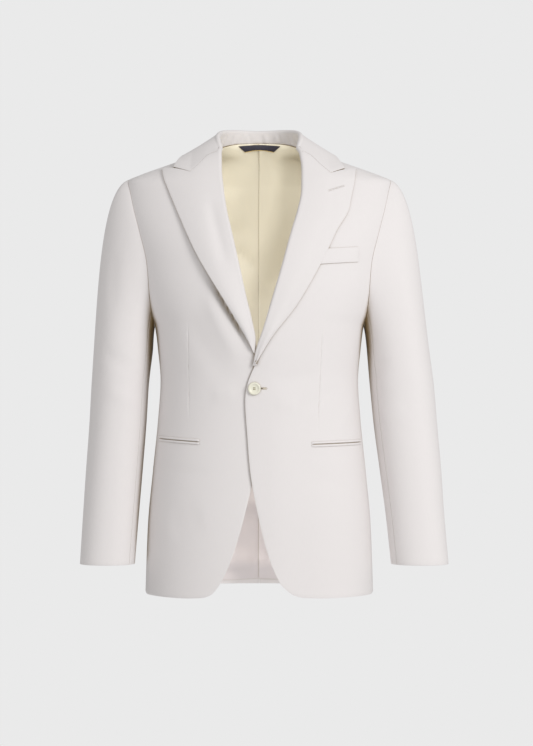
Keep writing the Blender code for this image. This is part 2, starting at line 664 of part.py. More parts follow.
def face_lift(share, edge_lift):
    """How far a turned-out face stands off the body: at the roll, and on to its edge."""
    return blend(2 * FOLD_RADIUS + LAPEL_CLOTH, edge_lift, share) + LEAF_CROWN * math.sin(math.pi * share)


def edge_backs(points, spots):
    """The backs of points on the gorge, square to the body, so that both cloths end in parallel."""
    return [point - body_normal(*on_body(spot)) * LAPEL_CLOTH for point, spot in zip(points, spots)]


def gorge_line(side, rise, tip=()):
    """Spots from the roll down the gorge, and on up one edge of the notch."""
    mouth = Spot(NOTCH_MOUTH[side].across, NOTCH_MOUTH[side].height + rise)
    down, up = path([lapel_roll(side)(0.0)] + GORGE + [NOTCH[side]]), path([NOTCH[side], mouth, *tip])
    return ([down(share) for share in steps(GORGE_STEPS)]
            + [up(share) for share in steps(NOTCH_STEPS)[1:]])


def lapel(side):
    lift, roll, edge = overlap_lift(side), lapel_roll(side), path(LAPEL_EDGE[side])
    line = roll_line(side)
    first = len(line) - 1 - ROLL_STEPS
    top = gorge_line(side, -PEAK_TOP_DROP, [LAPEL_EDGE[side][0]])
    columns = steps(GORGE_STEPS + NOTCH_STEPS)
    rows, known = [], []
    for i, share in enumerate(steps(ROLL_STEPS)):
        angle, height = line[first + i]
        normal = body_normal(angle, height)
        inward = fold_direction(line, first + i, normal)
        place = body_point(angle, height, lift(angle, height)) + inward * ROLL_GAP
        if i == 0:
            place += normal.cross(inward) * GORGE_GAP
        radius = blend(FOLD_RADIUS, BREAK_FOLD_RADIUS, ease((share - BREAK_SHARE) / (1 - BREAK_SHARE)))
        far, near = fold(place, normal, inward, radius)
        stand_off = GORGE_LIFT + LAPEL_STAND_OFF[side] * math.sin(math.pi * share)
        start, end = roll(share), edge(share)
        bend = (1 - share) ** GORGE_BEND_POWER
        for column, spot in zip(columns[1:], top[1:]):
            across = blend(start.across, end.across, column)
            up = blend(start.height, end.height, column)
            across += (spot.across - blend(top[0].across, top[-1].across, column)) * bend
            up += (spot.height - GORGE_GAP - blend(top[0].height, top[-1].height, column)) * bend
            here = Spot(across, up)
            raised = face_lift(column, stand_off) + lift(*on_body(here))
            far.append(over_body(here, raised - (FOLD_RADIUS - radius) * 2 * (1 - column)))
        rows.append(far)
        known.append(near)
    known[0] += edge_backs(rows[0][len(known[0]):], top[1:])
    return turned_wall(f"lapel_{side}", rows, known, side, 1)


def collar_angles(side):
    return (spread(COLLAR_FRONT_ANGLE[side], 90.0, NECK_FRONT_STEPS)
            + spread(90.0, 180.0, NECK_BACK_STEPS)[1:])


def collar_half(side):
    """Rows across the collar from the gorge to the centre back: far points, and the known near ones."""
    columns = {name: collar_curve(name) for name in Station._fields[1:]}
    line = roll_line(side)
    angles = collar_angles(side)
    end = gorge_line(side, COLLAR_END_RISE)
    shares = steps(GORGE_STEPS + NOTCH_STEPS)
    end_points = [over_body(spot, face_lift(share, GORGE_LIFT)) for spot, share in zip(end, shares)]
    edge_columns = ("edge_angle", "edge_height", "edge_lift")
    first_edge = body_point(*[columns[name](angles[0]) for name in edge_columns])
    rows, known = [], []
    for i, angle in enumerate(angles):
        height = columns["roll_height"](angle)
        normal = body_normal(angle, height)
        up = fold_direction(line, len(angles) - 1 - i, normal)
        seam = columns["seam_height"](angle) + SEAM_GAP
        stand = [blend(seam, height, share) for share in steps(COLLAR_STAND_STEPS)[:-1]]
        far, near = fold(body_point(angle, height), normal, up)
        edge = body_point(*[columns[name](angle) for name in edge_columns])
        bend = max(1 - (angle - angles[0]) / END_REACH, 0.0) ** 2
        if i == 0:
            first_top = far[-1]
        leaf = []
        for share, end_point in zip(shares[1:], end_points[1:]):
            crown = normal * (LEAF_CROWN * math.sin(math.pi * share) * (1 - bend))
            leaf.append(far[-1].lerp(edge, share) + crown
                        + (end_point - first_top.lerp(first_edge, share)) * bend)
        rows.append([body_point(angle, place, -LAPEL_CLOTH) for place in stand] + far + leaf)
        known.append([body_point(angle, place) for place in stand] + near)
    known[0] += edge_backs(rows[0][len(known[0]):], end[1:])
    return rows, known


def collar():
    rows, known = collar_half("left")
    for grid, other in zip((rows, known), collar_half("right")):
        grid += [[Vector((-point.x, point.y, point.z)) for point in row] for row in reversed(other[:-1])]
    return turned_wall("collar", rows, known, "left", -1)


# ---- Pockets -------------------------------------------------------------------------------------

def patch(name, side, grid, top, bottom, thickness):
    """A strip that lies on a front: the front's own outer faces within four lines, moved out."""
    mirror = -1 if side == "right" else 1
    corners = [Vector((spot.across * mirror, 0.0, spot.height)) for spot in (*top, *reversed(bottom))]
    middle = sum(corners, Vector()) / len(corners)
    work = bmesh.new()
    grid_faces(work, body_rows(grid, overlap_lift(side)), mirror, FRONT_DIAGONALS)
    for start, end in zip(corners, corners[1:] + corners[:1]):
        inwards = (end - start).cross(Vector((0.0, 1.0, 0.0)))
        if inwards.dot(middle - start) < 0:
            inwards.negate()
        everything = work.verts[:] + work.edges[:] + work.faces[:]
        bmesh.ops.bisect_plane(work, geom=everything, dist=CUT_TOLERANCE, plane_co=start,
                               plane_no=inwards, clear_inner=True)
    far_place = work.verts.layers.float_vector.new("far_place")
    work.normal_update()
    for vert in work.verts:
        outwards = vert.normal * math.copysign(1.0, -vert.normal.y)
        vert[far_place] = vert.co + outwards * (SEAM_GAP + thickness)
        vert.co += outwards * SEAM_GAP
    return closed_wall(name, "ivory_wool", work, far_place)


def hip_pocket(side, grid):
    half_gap = SEAM_GAP / 2
    for name, low, high in (("upper", half_gap, JET_HEIGHT), ("lower", -JET_HEIGHT, -half_gap)):
        top = [Spot(spot.across, spot.height + high) for spot in POCKET_ENDS[side]]
        bottom = [Spot(spot.across, spot.height + low) for spot in POCKET_ENDS[side]]
        patch(f"jet_{name}_{side}", side, grid, top, bottom, JET_CLOTH)


# ---- Lining and label ----------------------------------------------------------------------------

def lining(side):
    """Half the back lining. The left half passes the right one in a pleat down the centre."""
    inner, outer = back_edges(top_rise=LINING_TOP_RISE, hem_rise=LINING_HEM_RISE)
    reach = PLEAT_REACH if side == "left" else -PLEAT_GAP
    inner = [(angle + reach if angle == 180 else angle, height) for angle, height in inner]
    outer = shifted(outer, LINING_SIDE_GAPS)

    def lift(angle, height):
        over = PLEAT_DEPTH * ease((angle - PLEAT_START) / PLEAT_RAMP) if side == "left" else 0.0
        return -BODY_CLOTH - LINING_CLEARANCE - over

    grid = ruled(inner, outer, LINING_PLEAT_SHARES + steps(BACK_COLUMNS)[1:])
    return body_wall(f"lining_{side}", "ivory_satin", grid, LINING, side, lift)


def label(linings):
    """The bare label, which lies on the pleat and hangs level past it."""
    trees = [BVHTree.FromPolygons([vert.co for vert in half.data.vertices],
                                  [face.vertices for face in half.data.polygons]) for half in linings]
    rows = []
    for share in steps(LABEL_ROWS):
        row = []
        for across in spread(-1.0, 1.0, LABEL_COLUMNS):
            height = blend(*LABEL_MIDDLE_HEIGHTS, share) - LABEL_END_DROP * across * across
            start = Vector((blend(*LABEL_HALF_WIDTHS, share) * across, 0.0, height))
            hits = [tree.ray_cast(start, Vector((0.0, 1.0, 0.0)))[0] for tree in trees]
            row.append(min((hit for hit in hits if hit), key=lambda hit: hit.y))
        rows.append(row)
    normals = [[grid_normal(rows, i, j) for j in range(len(row))] for i, row in enumerate(rows)]

    def moved(extra):
        return [[point + normal * (LABEL_CLEARANCE + extra) for point, normal in zip(row, line)]
                for row, line in zip(rows, normals)]

    return wall("neck_label", "dark_label", moved(LABEL_CLOTH), moved(0.0))


# ---- Button --------------------------------------------------------------------------------------

def standing(spot, lift):
    """The move that puts a body's own Z square to the left front, at a spot on it."""
    place = on_body(spot)
    facing = body_normal(*place)
    return (Matrix.Translation(body_point(*place, OVERLAP_LIFT + lift))
            @ facing.to_track_quat("Z", "Y").to_matrix().to_4x4())


def cut_buttonhole(work):
    """Cut the slot that the button's thread passes through out of the left front's sheet."""
    middle = Vector((BUTTONHOLE_MIDDLE, 0.0, BUTTON_PLACE.height))
    half = {0: BUTTONHOLE_LENGTH / 2, 2: BUTTONHOLE_HEIGHT / 2}

    def meets_slot(face):
        spans = {axis: [vert.co[axis] - middle[axis] for vert in face.verts] for axis in half}
        return all(min(spans[axis]) < half[axis] and max(spans[axis]) > -half[axis] for axis in half)

    def in_slot(face):
        centre = face.calc_center_median() - middle
        return all(abs(centre[axis]) < half[axis] for axis in half)

    for axis in half:
        for way in (-1, 1):
            square = Vector((float(axis == 0), 0.0, float(axis == 2)))
            faces = [face for face in work.faces if meets_slot(face)]
            around = {part for face in faces for part in (*face.verts, *face.edges)}
            bmesh.ops.bisect_plane(work, geom=faces + list(around), dist=CUT_TOLERANCE,
                                   plane_co=middle + square * (way * half[axis]), plane_no=square)
    bmesh.ops.delete(work, geom=[face for face in work.faces if in_slot(face)], context="FACES")
    bmesh.ops.triangulate(work, faces=work.faces[:])


def front_button():
    """A button turned round its own Z, on a thread that ends at the right front."""
    r, h = BUTTON_RADIUS, BUTTON_HEIGHT
    thread = BUTTON_STAND_OFF + OVERLAP_LIFT - SEAM_GAP
    profile = [(0.0, 0.55 * h), (0.42 * r, 0.58 * h), (0.60 * r, 0.72 * h), (0.76 * r, 0.97 * h),
               (0.88 * r, h), (0.97 * r, 0.82 * h), (r, 0.55 * h), (0.92 * r, 0.22 * h), (0.55 * r, 0.0),
               (SHANK_RADIUS, 0.0), (SHANK_RADIUS, -thread), (0.0, -thread)]
    mesh = bpy.data.meshes.new("front_button")
    work = bmesh.new()
    verts = [work.verts.new((radius, 0.0, height)) for radius, height in profile]
    for a, b in zip(verts, verts[1:]):
        work.edges.new((a, b))
    bmesh.ops.spin(work, geom=work.verts[:] + work.edges[:], cent=(0, 0, 0), axis=(0, 0, 1),
                   angle=2 * math.pi, steps=BUTTON_SEGMENTS, use_merge=True)
    bmesh.ops.remove_doubles(work, verts=work.verts[:], dist=WELD_DISTANCE)
    bmesh.ops.recalc_face_normals(work, faces=work.faces[:])
    work.to_mesh(mesh)
    work.free()
    mesh.transform(standing(BUTTON_PLACE, BUTTON_STAND_OFF))
    return new_object("front_button", "ivory_button", mesh)


# ---- Assembly ------------------------------------------------------------------------------------

def make_paints():
    for name, paint in PAINTS.items():
        material = bpy.data.materials.new(name)
        material.use_nodes = True
        shader = material.node_tree.nodes["Principled BSDF"]
        shader.inputs["Base Color"].default_value = (*paint.colour, 1.0)
        shader.inputs["Roughness"].default_value = paint.roughness
        shader.inputs["Metallic"].default_value = paint.metallic


def main():
    for thing in list(bpy.data.objects):
        bpy.data.objects.remove(thing, do_unlink=True)
    bpy.context.scene.collection.children.link(bpy.data.collections.new("dinner_jacket"))
    make_paints()
    linings = []
    for side in ("left", "right"):
        grid = front_grid(side)
        cut = cut_buttonhole if side == "left" else None
        body_wall(f"front_{side}", "ivory_wool", grid, FRONT_CLOTH, side, overlap_lift(side), cut,
                  FRONT_DIAGONALS)
        side_panel(side)
        back_panel(side)
        sleeve(side)
        lapel(side)
        hip_pocket(side, grid)
        linings.append(lining(side))
        if side == "left":
            patch("chest_welt", side, grid, WELT_TOP, WELT_BOTTOM, WELT_CLOTH)
    collar()
    label(linings)
    front_button()


main()
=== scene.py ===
"""The looks of a one-button ivory dinner jacket with peak lapels, filled out as it is worn.

Metres. +Z is up, -Y is the front and +X is the wearer's left. The origin is the middle of the neck base.

The body of the jacket lies on one surface, body_point(angle, height). The angle goes round the girth
from 0 at the centre front, through 90 degrees at the side and the shoulder seam, to 180 at the centre
back. Every panel is a wall of cloth between a grid of outer points and a grid of inner ones. Both
halves of the jacket are made in their own side's coordinates, in which x grows towards that side, and
then mirrored. Left and right are the wearer's.
"""

import math
from collections import namedtuple
from contextlib import contextmanager

import bmesh
import bpy
import numpy as np
from mathutils import Matrix, Vector
from mathutils.bvhtree import BVHTree


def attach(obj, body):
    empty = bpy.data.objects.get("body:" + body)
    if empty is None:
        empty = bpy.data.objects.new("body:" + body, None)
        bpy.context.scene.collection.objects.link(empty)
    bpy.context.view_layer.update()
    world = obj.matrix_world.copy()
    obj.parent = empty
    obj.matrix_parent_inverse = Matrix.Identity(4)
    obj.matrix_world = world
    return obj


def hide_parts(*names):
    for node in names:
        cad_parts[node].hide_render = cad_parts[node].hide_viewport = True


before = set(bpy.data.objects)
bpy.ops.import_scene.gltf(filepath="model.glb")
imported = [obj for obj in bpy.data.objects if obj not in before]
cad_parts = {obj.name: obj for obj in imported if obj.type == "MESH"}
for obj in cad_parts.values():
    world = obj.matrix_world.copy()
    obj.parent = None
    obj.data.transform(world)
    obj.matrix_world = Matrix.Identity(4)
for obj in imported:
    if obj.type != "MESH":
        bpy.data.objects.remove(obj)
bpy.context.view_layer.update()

# ---- Sizes of the solids -------------------------------------------------------------------------

SEAM_GAP = 0.0003
SLEEVE_SEAM_GROW = 0.0008   # brings the sleeve's edge out to the body's, so that no light comes through
FRONT_CLOTH = 0.0020
BODY_CLOTH = 0.0018
LAPEL_CLOTH = 0.0025
LINING = 0.0010
LINING_CLEARANCE = 0.0025
FOLD_RADIUS = 0.0020

SHOULDER_TIP_HEIGHT = -0.0468
UNDERARM_HEIGHT = -0.290
HEM_FRONT_HEIGHT = -0.7325
HEM_BACK_HEIGHT = -0.7287
HEM_RISE_START = 65.0
HEM_RISE_SPAN = 30.0
CUFF_HEIGHT = -0.683
BICEPS_HEIGHT = -0.335

ARMHOLE_HALF_ANGLE = 27.0
GIRTH_RADIUS = 0.17
COLLAR_FRONT_ANGLE = {"left": 55.0, "right": 51.5}
FRONT_SEAM_ANGLE = 82.0
BACK_SEAM_ANGLE = 108.0
BACK_SEAM_HEM_ANGLE = 112.0

OVERLAP_LIFT = 0.0036
OVERLAP_OUTER = 0.080
OVERLAP_TOP = -0.255
OVERLAP_RAMP = 0.065
ROLL_GAP = 0.0005
GORGE_GAP = 0.0004
BREAK_SHARE = 0.8
BREAK_FOLD_RADIUS = 0.0006
END_REACH = 30.0
GORGE_LIFT = 0.0055
LEAF_CROWN = 0.0015
EDGE_SETTLE = {"left": 0.0028, "right": 0.0024}  # how much closer the outer edge lies
EDGE_SETTLE_POWER = 3
LAPEL_STAND_OFF = {"left": 0.0, "right": 0.0075}
STAND_OFF_POWER = 2.2       # a lapel stands out most below the middle of its edge

# Steps of the grids, each split into FINENESS finer ones
FINENESS = 6
FRONT_COLUMNS = 10
BACK_COLUMNS = 8
SIDE_COLUMNS = 3
ARMHOLE_FRONT_STEPS = 9
ARMHOLE_SIDE_STEPS = 3
ARMHOLE_BACK_STEPS = 8
SEAM_STEPS = 16
CAP_STEPS = 6
SLEEVE_STEPS = 10
SLEEVE_FINENESS = 5
FOLD_STEPS = 12
ROLL_STEPS = 12
GORGE_STEPS = 4
NOTCH_STEPS = 2
NECK_FRONT_STEPS = 3
NECK_BACK_STEPS = 6
COLLAR_STAND_STEPS = 10
HEM_BEND_POWER = 5
UNDERARM_BEND_POWER = 4
GORGE_BEND_POWER = 4
BACK_ROW_CROWDING = 1.35

Level = namedtuple("Level", "height half_width front_depth back_depth squareness")
BODY_LEVELS = [
    Level(0.0450, 0.0620, 0.0480, 0.0640, 2.10),
    Level(0.0155, 0.0700, 0.0480, 0.0672, 2.10),
    Level(0.0030, 0.0785, 0.0475, 0.0755, 2.00),
    Level(-0.0060, 0.1055, 0.0490, 0.0810, 1.95),
    Level(-0.0210, 0.1500, 0.0550, 0.0885, 1.90),
    Level(-0.0407, 0.2042, 0.0640, 0.0955, 1.95),
    Level(-0.0468, 0.2175, 0.0670, 0.0975, 2.00),
    Level(-0.0530, 0.2205, 0.0705, 0.0990, 2.05),
    Level(-0.0900, 0.2222, 0.0895, 0.1075, 2.20),
    Level(-0.1350, 0.2165, 0.1080, 0.1140, 2.30),
    Level(-0.1800, 0.2055, 0.1205, 0.1160, 2.30),
    Level(-0.2360, 0.1935, 0.1285, 0.1115, 2.35),
    Level(-0.2700, 0.1825, 0.1295, 0.1050, 2.35),
    Level(-0.2900, 0.1738, 0.1290, 0.1005, 2.35),
    Level(-0.3300, 0.1685, 0.1255, 0.0925, 2.30),
    Level(-0.3800, 0.1643, 0.1205, 0.0865, 2.25),
    Level(-0.4400, 0.1680, 0.1190, 0.0885, 2.25),
    Level(-0.5300, 0.1770, 0.1215, 0.1020, 2.30),
    Level(-0.6200, 0.1853, 0.1240, 0.1145, 2.35),
    Level(-0.7400, 0.1897, 0.1240, 0.1200, 2.40),
]

SleeveLevel = namedtuple(
    "SleeveLevel", "height right_outer right_inner left_outer left_inner middle_y half_depth")
SLEEVE_LEVELS = [
    SleeveLevel(-0.335, 0.2762, 0.1780, 0.2840, 0.1798, 0.004, 0.0625),
    SleeveLevel(-0.390, 0.2797, 0.1845, 0.2912, 0.1845, 0.004, 0.0610),
    SleeveLevel(-0.450, 0.2828, 0.1880, 0.2960, 0.1903, 0.001, 0.0580),
    SleeveLevel(-0.530, 0.2880, 0.1940, 0.3025, 0.2005, -0.008, 0.0530),
    SleeveLevel(-0.600, 0.2920, 0.1995, 0.3065, 0.2095, -0.018, 0.0490),
    SleeveLevel(-0.683, 0.2963, 0.2057, 0.3128, 0.2180, -0.032, 0.0445),
]
SLEEVE_SQUARENESS = 2.15
CAP_REACH = 0.044
UNDERARM_REACH = 0.003
CAP_REACH_POWER = 0.7
ARM_TANGENT_LENGTH = 0.02
CAP_DROP = 0.0125
CAP_LENGTH = 0.125
UNDERARM_LENGTH = 0.014
SLEEVE_RADIUS = 0.05
UNDER_SLEEVE_FIRST = 8
UNDER_SLEEVE_LAST = 13

# A spot is how far across and how high something shows from the front; a line is a run of them
Spot = namedtuple("Spot", "across height")
ROLL = {
    "left": [(0.0740, -0.0347), (0.0735, -0.0691), (0.0673, -0.1029),
             (0.0572, -0.1363), (0.0392, -0.2018), (0.0248, -0.2504),
             (0.0104, -0.2987), (-0.0005, -0.3280)],
    "right": [(0.0659, -0.0347), (0.0624, -0.0691), (0.0573, -0.1029),
              (0.0496, -0.1363), (0.0348, -0.2018), (0.0240, -0.2504),
              (0.0152, -0.2858), (0.0088, -0.3150)],
}
FRONT_EDGE = {
    "left": [(-0.0070, -0.3560), (-0.0165, -0.3793), (-0.0213, -0.3980),
             (-0.0223, -0.4137), (-0.0194, -0.4627), (-0.0146, -0.5242),
             (-0.0051, -0.5810), (0.0093, -0.6440), (0.0224, -0.6840),
             (0.0340, -0.7090)],
    "right": [(0.0075, -0.3363), (-0.0015, -0.3560), (-0.0060, -0.3800),
              (-0.0065, -0.4150), (-0.0035, -0.4700), (0.0030, -0.5200),
              (0.0124, -0.5536), (0.0297, -0.6222), (0.0513, -0.6855),
              (0.0655, -0.7130)],
}
HEM_ROUND = {
    "left": [(0.0340, -0.7090), (0.0452, -0.7200), (0.0568, -0.7280),
             (0.0741, -0.7320), (0.1120, -0.7335)],
    "right": [(0.0655, -0.7130), (0.0744, -0.7240), (0.0815, -0.7290),
              (0.0931, -0.7325), (0.1250, -0.7340)],
}
LAPEL_EDGE = {
    "left": [(0.1598, -0.0277), (0.1574, -0.0492), (0.1518, -0.0754),
             (0.1465, -0.1007), (0.1272, -0.1343), (0.1094, -0.1722),
             (0.0870, -0.2147), (0.0596, -0.2600), (0.0209, -0.3100),
             (-0.0035, -0.3500)],
    "right": [(0.1610, -0.0277), (0.1578, -0.0439), (0.1486, -0.0685),
              (0.1344, -0.1023), (0.1200, -0.1359), (0.1047, -0.1689),
              (0.0863, -0.2018), (0.0565, -0.2504), (0.0374, -0.2826),
              (0.0190, -0.3148)],
}
GORGE = [(0.0845, -0.0075), (0.0977, -0.0210)]
NOTCH = {"left": (0.1173, -0.0385), "right": (0.1137, -0.0362)}
NOTCH_MOUTH = {"left": (0.1410, -0.0305), "right": (0.1420, -0.0282)}
COLLAR_END_RISE = 0.0010
PEAK_TOP_DROP = 0.0010

Station = namedtuple("Station", "angle seam_height roll_height edge_angle edge_height edge_lift")
COLLAR = [
    Station(51.5, 0.0000, 0.0008, 63.8, -0.0246, 0.0060),
    Station(60.0, 0.0006, 0.0075, 71.0, -0.0185, 0.0080),
    Station(75.0, 0.0022, 0.0180, 82.0, -0.0130, 0.0080),
    Station(90.0, 0.0040, 0.0262, 94.0, -0.0100, 0.0065),
    Station(120.0, 0.0125, 0.0352, 120.0, -0.0075, 0.0055),
    Station(150.0, 0.0185, 0.0378, 150.0, -0.0065, 0.0055),
    Station(180.0, 0.0200, 0.0372, 180.0, -0.0060, 0.0060),
]

POCKET_ENDS = {"left": ((0.0855, -0.4838), (0.1690, -0.4816)),
               "right": ((0.0967, -0.4800), (0.1661, -0.4757))}
JET_HEIGHT = 0.0044
JET_CLOTH = 0.0018
WELT_TOP = ((0.0900, -0.1672), (0.1625, -0.1622))
WELT_BOTTOM = ((0.0850, -0.1925), (0.1620, -0.1867))
WELT_CLOTH = 0.0022
BUTTON_PLACE = Spot(-0.0077, -0.3930)
BUTTON_RADIUS = 0.0104
BUTTON_HEIGHT = 0.0042
BUTTON_STAND_OFF = 0.0005
BUTTONHOLE_MIDDLE = 0.0007
BUTTONHOLE_LENGTH = 0.0215
LABEL_HALF_WIDTHS = (0.0360, 0.0246)
LABEL_MIDDLE_HEIGHTS = (0.0176, 0.0090)
LABEL_END_DROP = 0.0028
LABEL_CLOTH = 0.0010
LABEL_CLEARANCE = 0.0008
LINING_TOP_RISE = 0.0004
LINING_HEM_RISE = 0.008
LINING_SIDE_GAPS = 4
LINING_PLEAT_SHARE = 0.06   # of the width, which the pleat takes up
PLEAT_DEPTH = 0.0030
PLEAT_START = 168.0
PLEAT_RAMP = 8.0
PLEAT_REACH = {"left": 0.15, "right": 2.2}  # degrees past the centre

# ---- Sizes of the finish -------------------------------------------------------------------------

SIDES = ("left", "right")
EDGE_ROUND = 0.0004         # bevel along every edge of the cloth
STRIP_ROUND = 0.0003        # and along the edges of thinner pieces
LABEL_ROUND = 0.0002
BUTTON_ROUND = 0.00015
BEVEL_SEGMENTS = 2
BEVEL_ANGLE = math.radians(50)  # edges that turn less stay as they are
FACING_WIDTH = 0.075        # of wool inside a front, from its edge
CUFF_FACING = 0.040         # of wool inside a sleeve, from its cuff
POCKET_SLIT = 0.0009        # between the two jets of a pocket
STRIP_END_STEPS = 3         # columns over which the ends of a strip round off
STRIP_ROUND_POWER = 4
JET_GRID = (60, 8)          # steps along and down a jet
JET_CROWN = 0.8             # of its thickness, which its edges lose to their rounding
WELT_GRID = (60, 24)
WELT_CROWN = 0.35
HEAD_SHARE = 0.15           # of the cap, over which its folds fade in
DARTS = {"left": (Spot(0.1025, -0.2855), Spot(0.0953, -0.4634)),
         "right": (Spot(0.1157, -0.2791), Spot(0.1141, -0.4505))}
DART_WIDTH = 0.0008         # half the width of a dart's groove
DART_DEPTH = 0.0007
DART_END = 0.2              # share of a dart's length over which its groove fades out
DART_REACH = 0.012          # to either side of a dart, within which its front's faces are cut
DART_PAST = 0.02            # share of its length past either end, likewise
FACES_FRONT = -0.1          # a face's normal is below this in y where it faces the front
PUCKER_DEPTH = 0.0014       # of the ripples where the collar's stand is eased onto the neck seam
PUCKER_TOP = 0.9            # share of the stand that they reach up
PUCKER_WAVES = [(0.43, 0.5, 0.4), (0.71, 0.3, 1.9), (1.13, 0.2, 4.0)]  # turn a degree, share, start
LINING_BLOUSE = 0.0080      # how far the lining's fullness stands out over its hem
LINING_BLOUSE_RISE = 0.026  # where it stands out most
LINING_BLOUSE_WIDTH = 0.015
LINING_HEM_WAVE = 0.0012    # how far the lining's hem rises and falls
LINING_HEM_TURN = 0.20      # of that wave, in radians a degree of girth
LINING_HEM_START = {"left": -36.0, "right": -36.4}
LINING_HEM_FADE = 0.03
PLEAT_COLUMNS = 12
PLEAT_LEAST_STEP = 0.005    # share of the width between the pleat's last column and the next
LABEL_ROWS = 6
LABEL_COLUMNS = 48
GOLD_PITCH = 0.0009         # between the gold threads that overcast the label's lower edge
GOLD_WIDTH = 0.0008
THREAD_RADIUS = 0.00020
THREAD_SIDES = 6
THREAD_RINGS = 5
THREAD_DIP = 0.0003         # how far the ends of a stitch go down into the cloth
THREAD_TIP = 0.35           # share of its radius that a thread has at its ends
PURL_PITCH = 0.00060        # between the stitches round a buttonhole
PURL_LENGTH = 0.0016
PURL_FAN = 8                # steps of the fan round the end of a buttonhole
LAPEL_HOLE = ((0.1130, -0.0700), (0.1390, -0.0610))
BUTTON_HOLE_RADIUS = 0.0008
BUTTON_HOLE_OFFSET = 0.0012
SHANK_RADIUS = 0.0010
BUTTON_SLOT_HEIGHT = 0.0014
LAPEL_SLIT = 0.0003
MERGE_DISTANCE = 0.000005   # between points that are one
CUT_DISTANCE = 0.0000001    # from a cutting plane, within which a point lies on it
# The button's face and its back, from the middle out and in again: shares of its radius and height
BUTTON_FACE = [(0.0, 0.52), (0.42, 0.56), (0.60, 0.70), (0.74, 0.95), (0.84, 1.0), (0.93, 0.92),
               (0.985, 0.72)]
BUTTON_BACK = [(1.0, 0.58), (0.99, 0.42), (0.94, 0.24), (0.80, 0.08), (0.55, 0.0), (0.0, 0.0)]
BUTTON_FACE_STEPS = 26
BUTTON_SEGMENTS = 64
HOLE_SEGMENTS = 20
SHANK_SEGMENTS = 16
BUTTON_SHARP_ANGLE = math.radians(40)
YARN_RADIUS = 0.00022
YARN_HEIGHT = 0.56          # share of the button's height at which its yarn crosses
YARN_STRANDS = (-0.00034, 0.0, 0.00034)
AIM_ROUNDS = 3              # of bringing a raised point back to where it should show
CLEAR_FRONT = -1.0          # a place in front of everything, from which rays start
TO_BACK = (0.0, 1.0, 0.0)

# The folds of the cloth. line is a run of spots on the piece, in its own side's coordinates; width is
# how far from that line the fold fades, and depth is how high its ridge stands, or how deep it is
# where it is a trough.
Fold = namedtuple("Fold", "line width depth")
FRONT_FOLDS = {
    "left": [
        Fold([(0.0144, -0.3858), (0.0662, -0.3761), (0.1017, -0.3664)], 0.012, -0.0012),
        Fold([(0.0209, -0.4149), (0.0662, -0.4197)], 0.013, 0.0010),
        Fold([(0.0662, -0.4310), (0.1389, -0.3858)], 0.009, -0.0009),
        Fold([(0.1357, -0.4634), (0.1583, -0.4036)], 0.007, 0.0010),
        Fold([(0.0700, -0.5400), (0.1500, -0.5500)], 0.016, -0.0008),
    ],
    "right": [
        Fold([(0.0907, -0.2225), (0.0648, -0.2855), (0.0276, -0.3567)], 0.013, 0.0030),
        Fold([(0.1181, -0.2500), (0.0907, -0.3227), (0.0567, -0.3631), (0.0260, -0.3809)], 0.018, -0.0018),
        Fold([(0.0900, -0.1980), (0.0590, -0.2495), (0.0400, -0.2810), (0.0215, -0.3140),
              (0.0060, -0.3420)], 0.0055, -0.0055),
        Fold([(0.1666, -0.5264), (0.1198, -0.5297), (0.0729, -0.5297)], 0.006, -0.0007),
        Fold([(0.1521, -0.6218), (0.0874, -0.5976)], 0.022, -0.0015),
        Fold([(0.0308, -0.3987), (0.0826, -0.4068)], 0.011, 0.0015),
    ],
}
BACK_FOLDS = {
    "left": [
        Fold([(0.0350, -0.3050), (0.0850, -0.3300), (0.1300, -0.3750)], 0.014, -0.0016),
        Fold([(0.0300, -0.3950), (0.0950, -0.3820)], 0.013, 0.0014),
        Fold([(0.1450, -0.1900), (0.1250, -0.2750)], 0.012, 0.0018),
        Fold([(0.0500, -0.0500), (0.1200, -0.0950)], 0.016, -0.0008),
        Fold([(0.0500, -0.6200), (0.0600, -0.7000)], 0.018, 0.0012),
    ],
    "right": [
        Fold([(0.0450, -0.3250), (0.1000, -0.3450), (0.1400, -0.3950)], 0.013, -0.0014),
        Fold([(0.0350, -0.4150), (0.0850, -0.4050)], 0.012, 0.0010),
        Fold([(0.1500, -0.1800), (0.1250, -0.2600)], 0.013, 0.0020),
        Fold([(0.0450, -0.0600), (0.1100, -0.0850)], 0.014, -0.0007),
        Fold([(0.0750, -0.6000), (0.0700, -0.6950)], 0.020, 0.0011),
    ],
}
# On a sleeve, a spot is how far round it is, in degrees, and how far down: 0 to 1 on the cap, on to 2.
SLEEVE_FOLDS = {
    "left": [
        Fold([(105, 1.02), (165, 1.14)], 0.010, -0.0014),
        Fold([(85, 1.24), (150, 1.34)], 0.013, 0.0012),
        Fold([(60, 0.45), (75, 0.85)], 0.013, 0.0010),
        Fold([(215, 1.08), (285, 1.16)], 0.010, -0.0016),
        Fold([(225, 1.30), (290, 1.24)], 0.011, 0.0014),
    ],
    "right": [
        Fold([(45, 0.97), (120, 1.10)], 0.012, -0.0014),
        Fold([(60, 1.16), (140, 1.26)], 0.012, 0.0014),
        Fold([(50, 0.40), (70, 0.80)], 0.014, -0.0012),
        Fold([(210, 1.12), (280, 1.20)], 0.011, -0.0015),
        Fold([(220, 1.36), (285, 1.28)], 0.010, 0.0013),
    ],
}
LAPEL_FOLDS = {
    "left": [Fold([(0.1150, -0.0900), (0.0900, -0.1600)], 0.022, 0.0007)],
    "right": [Fold([(0.0830, -0.0700), (0.0700, -0.1300), (0.0480, -0.2100)], 0.010, -0.0028)],
}
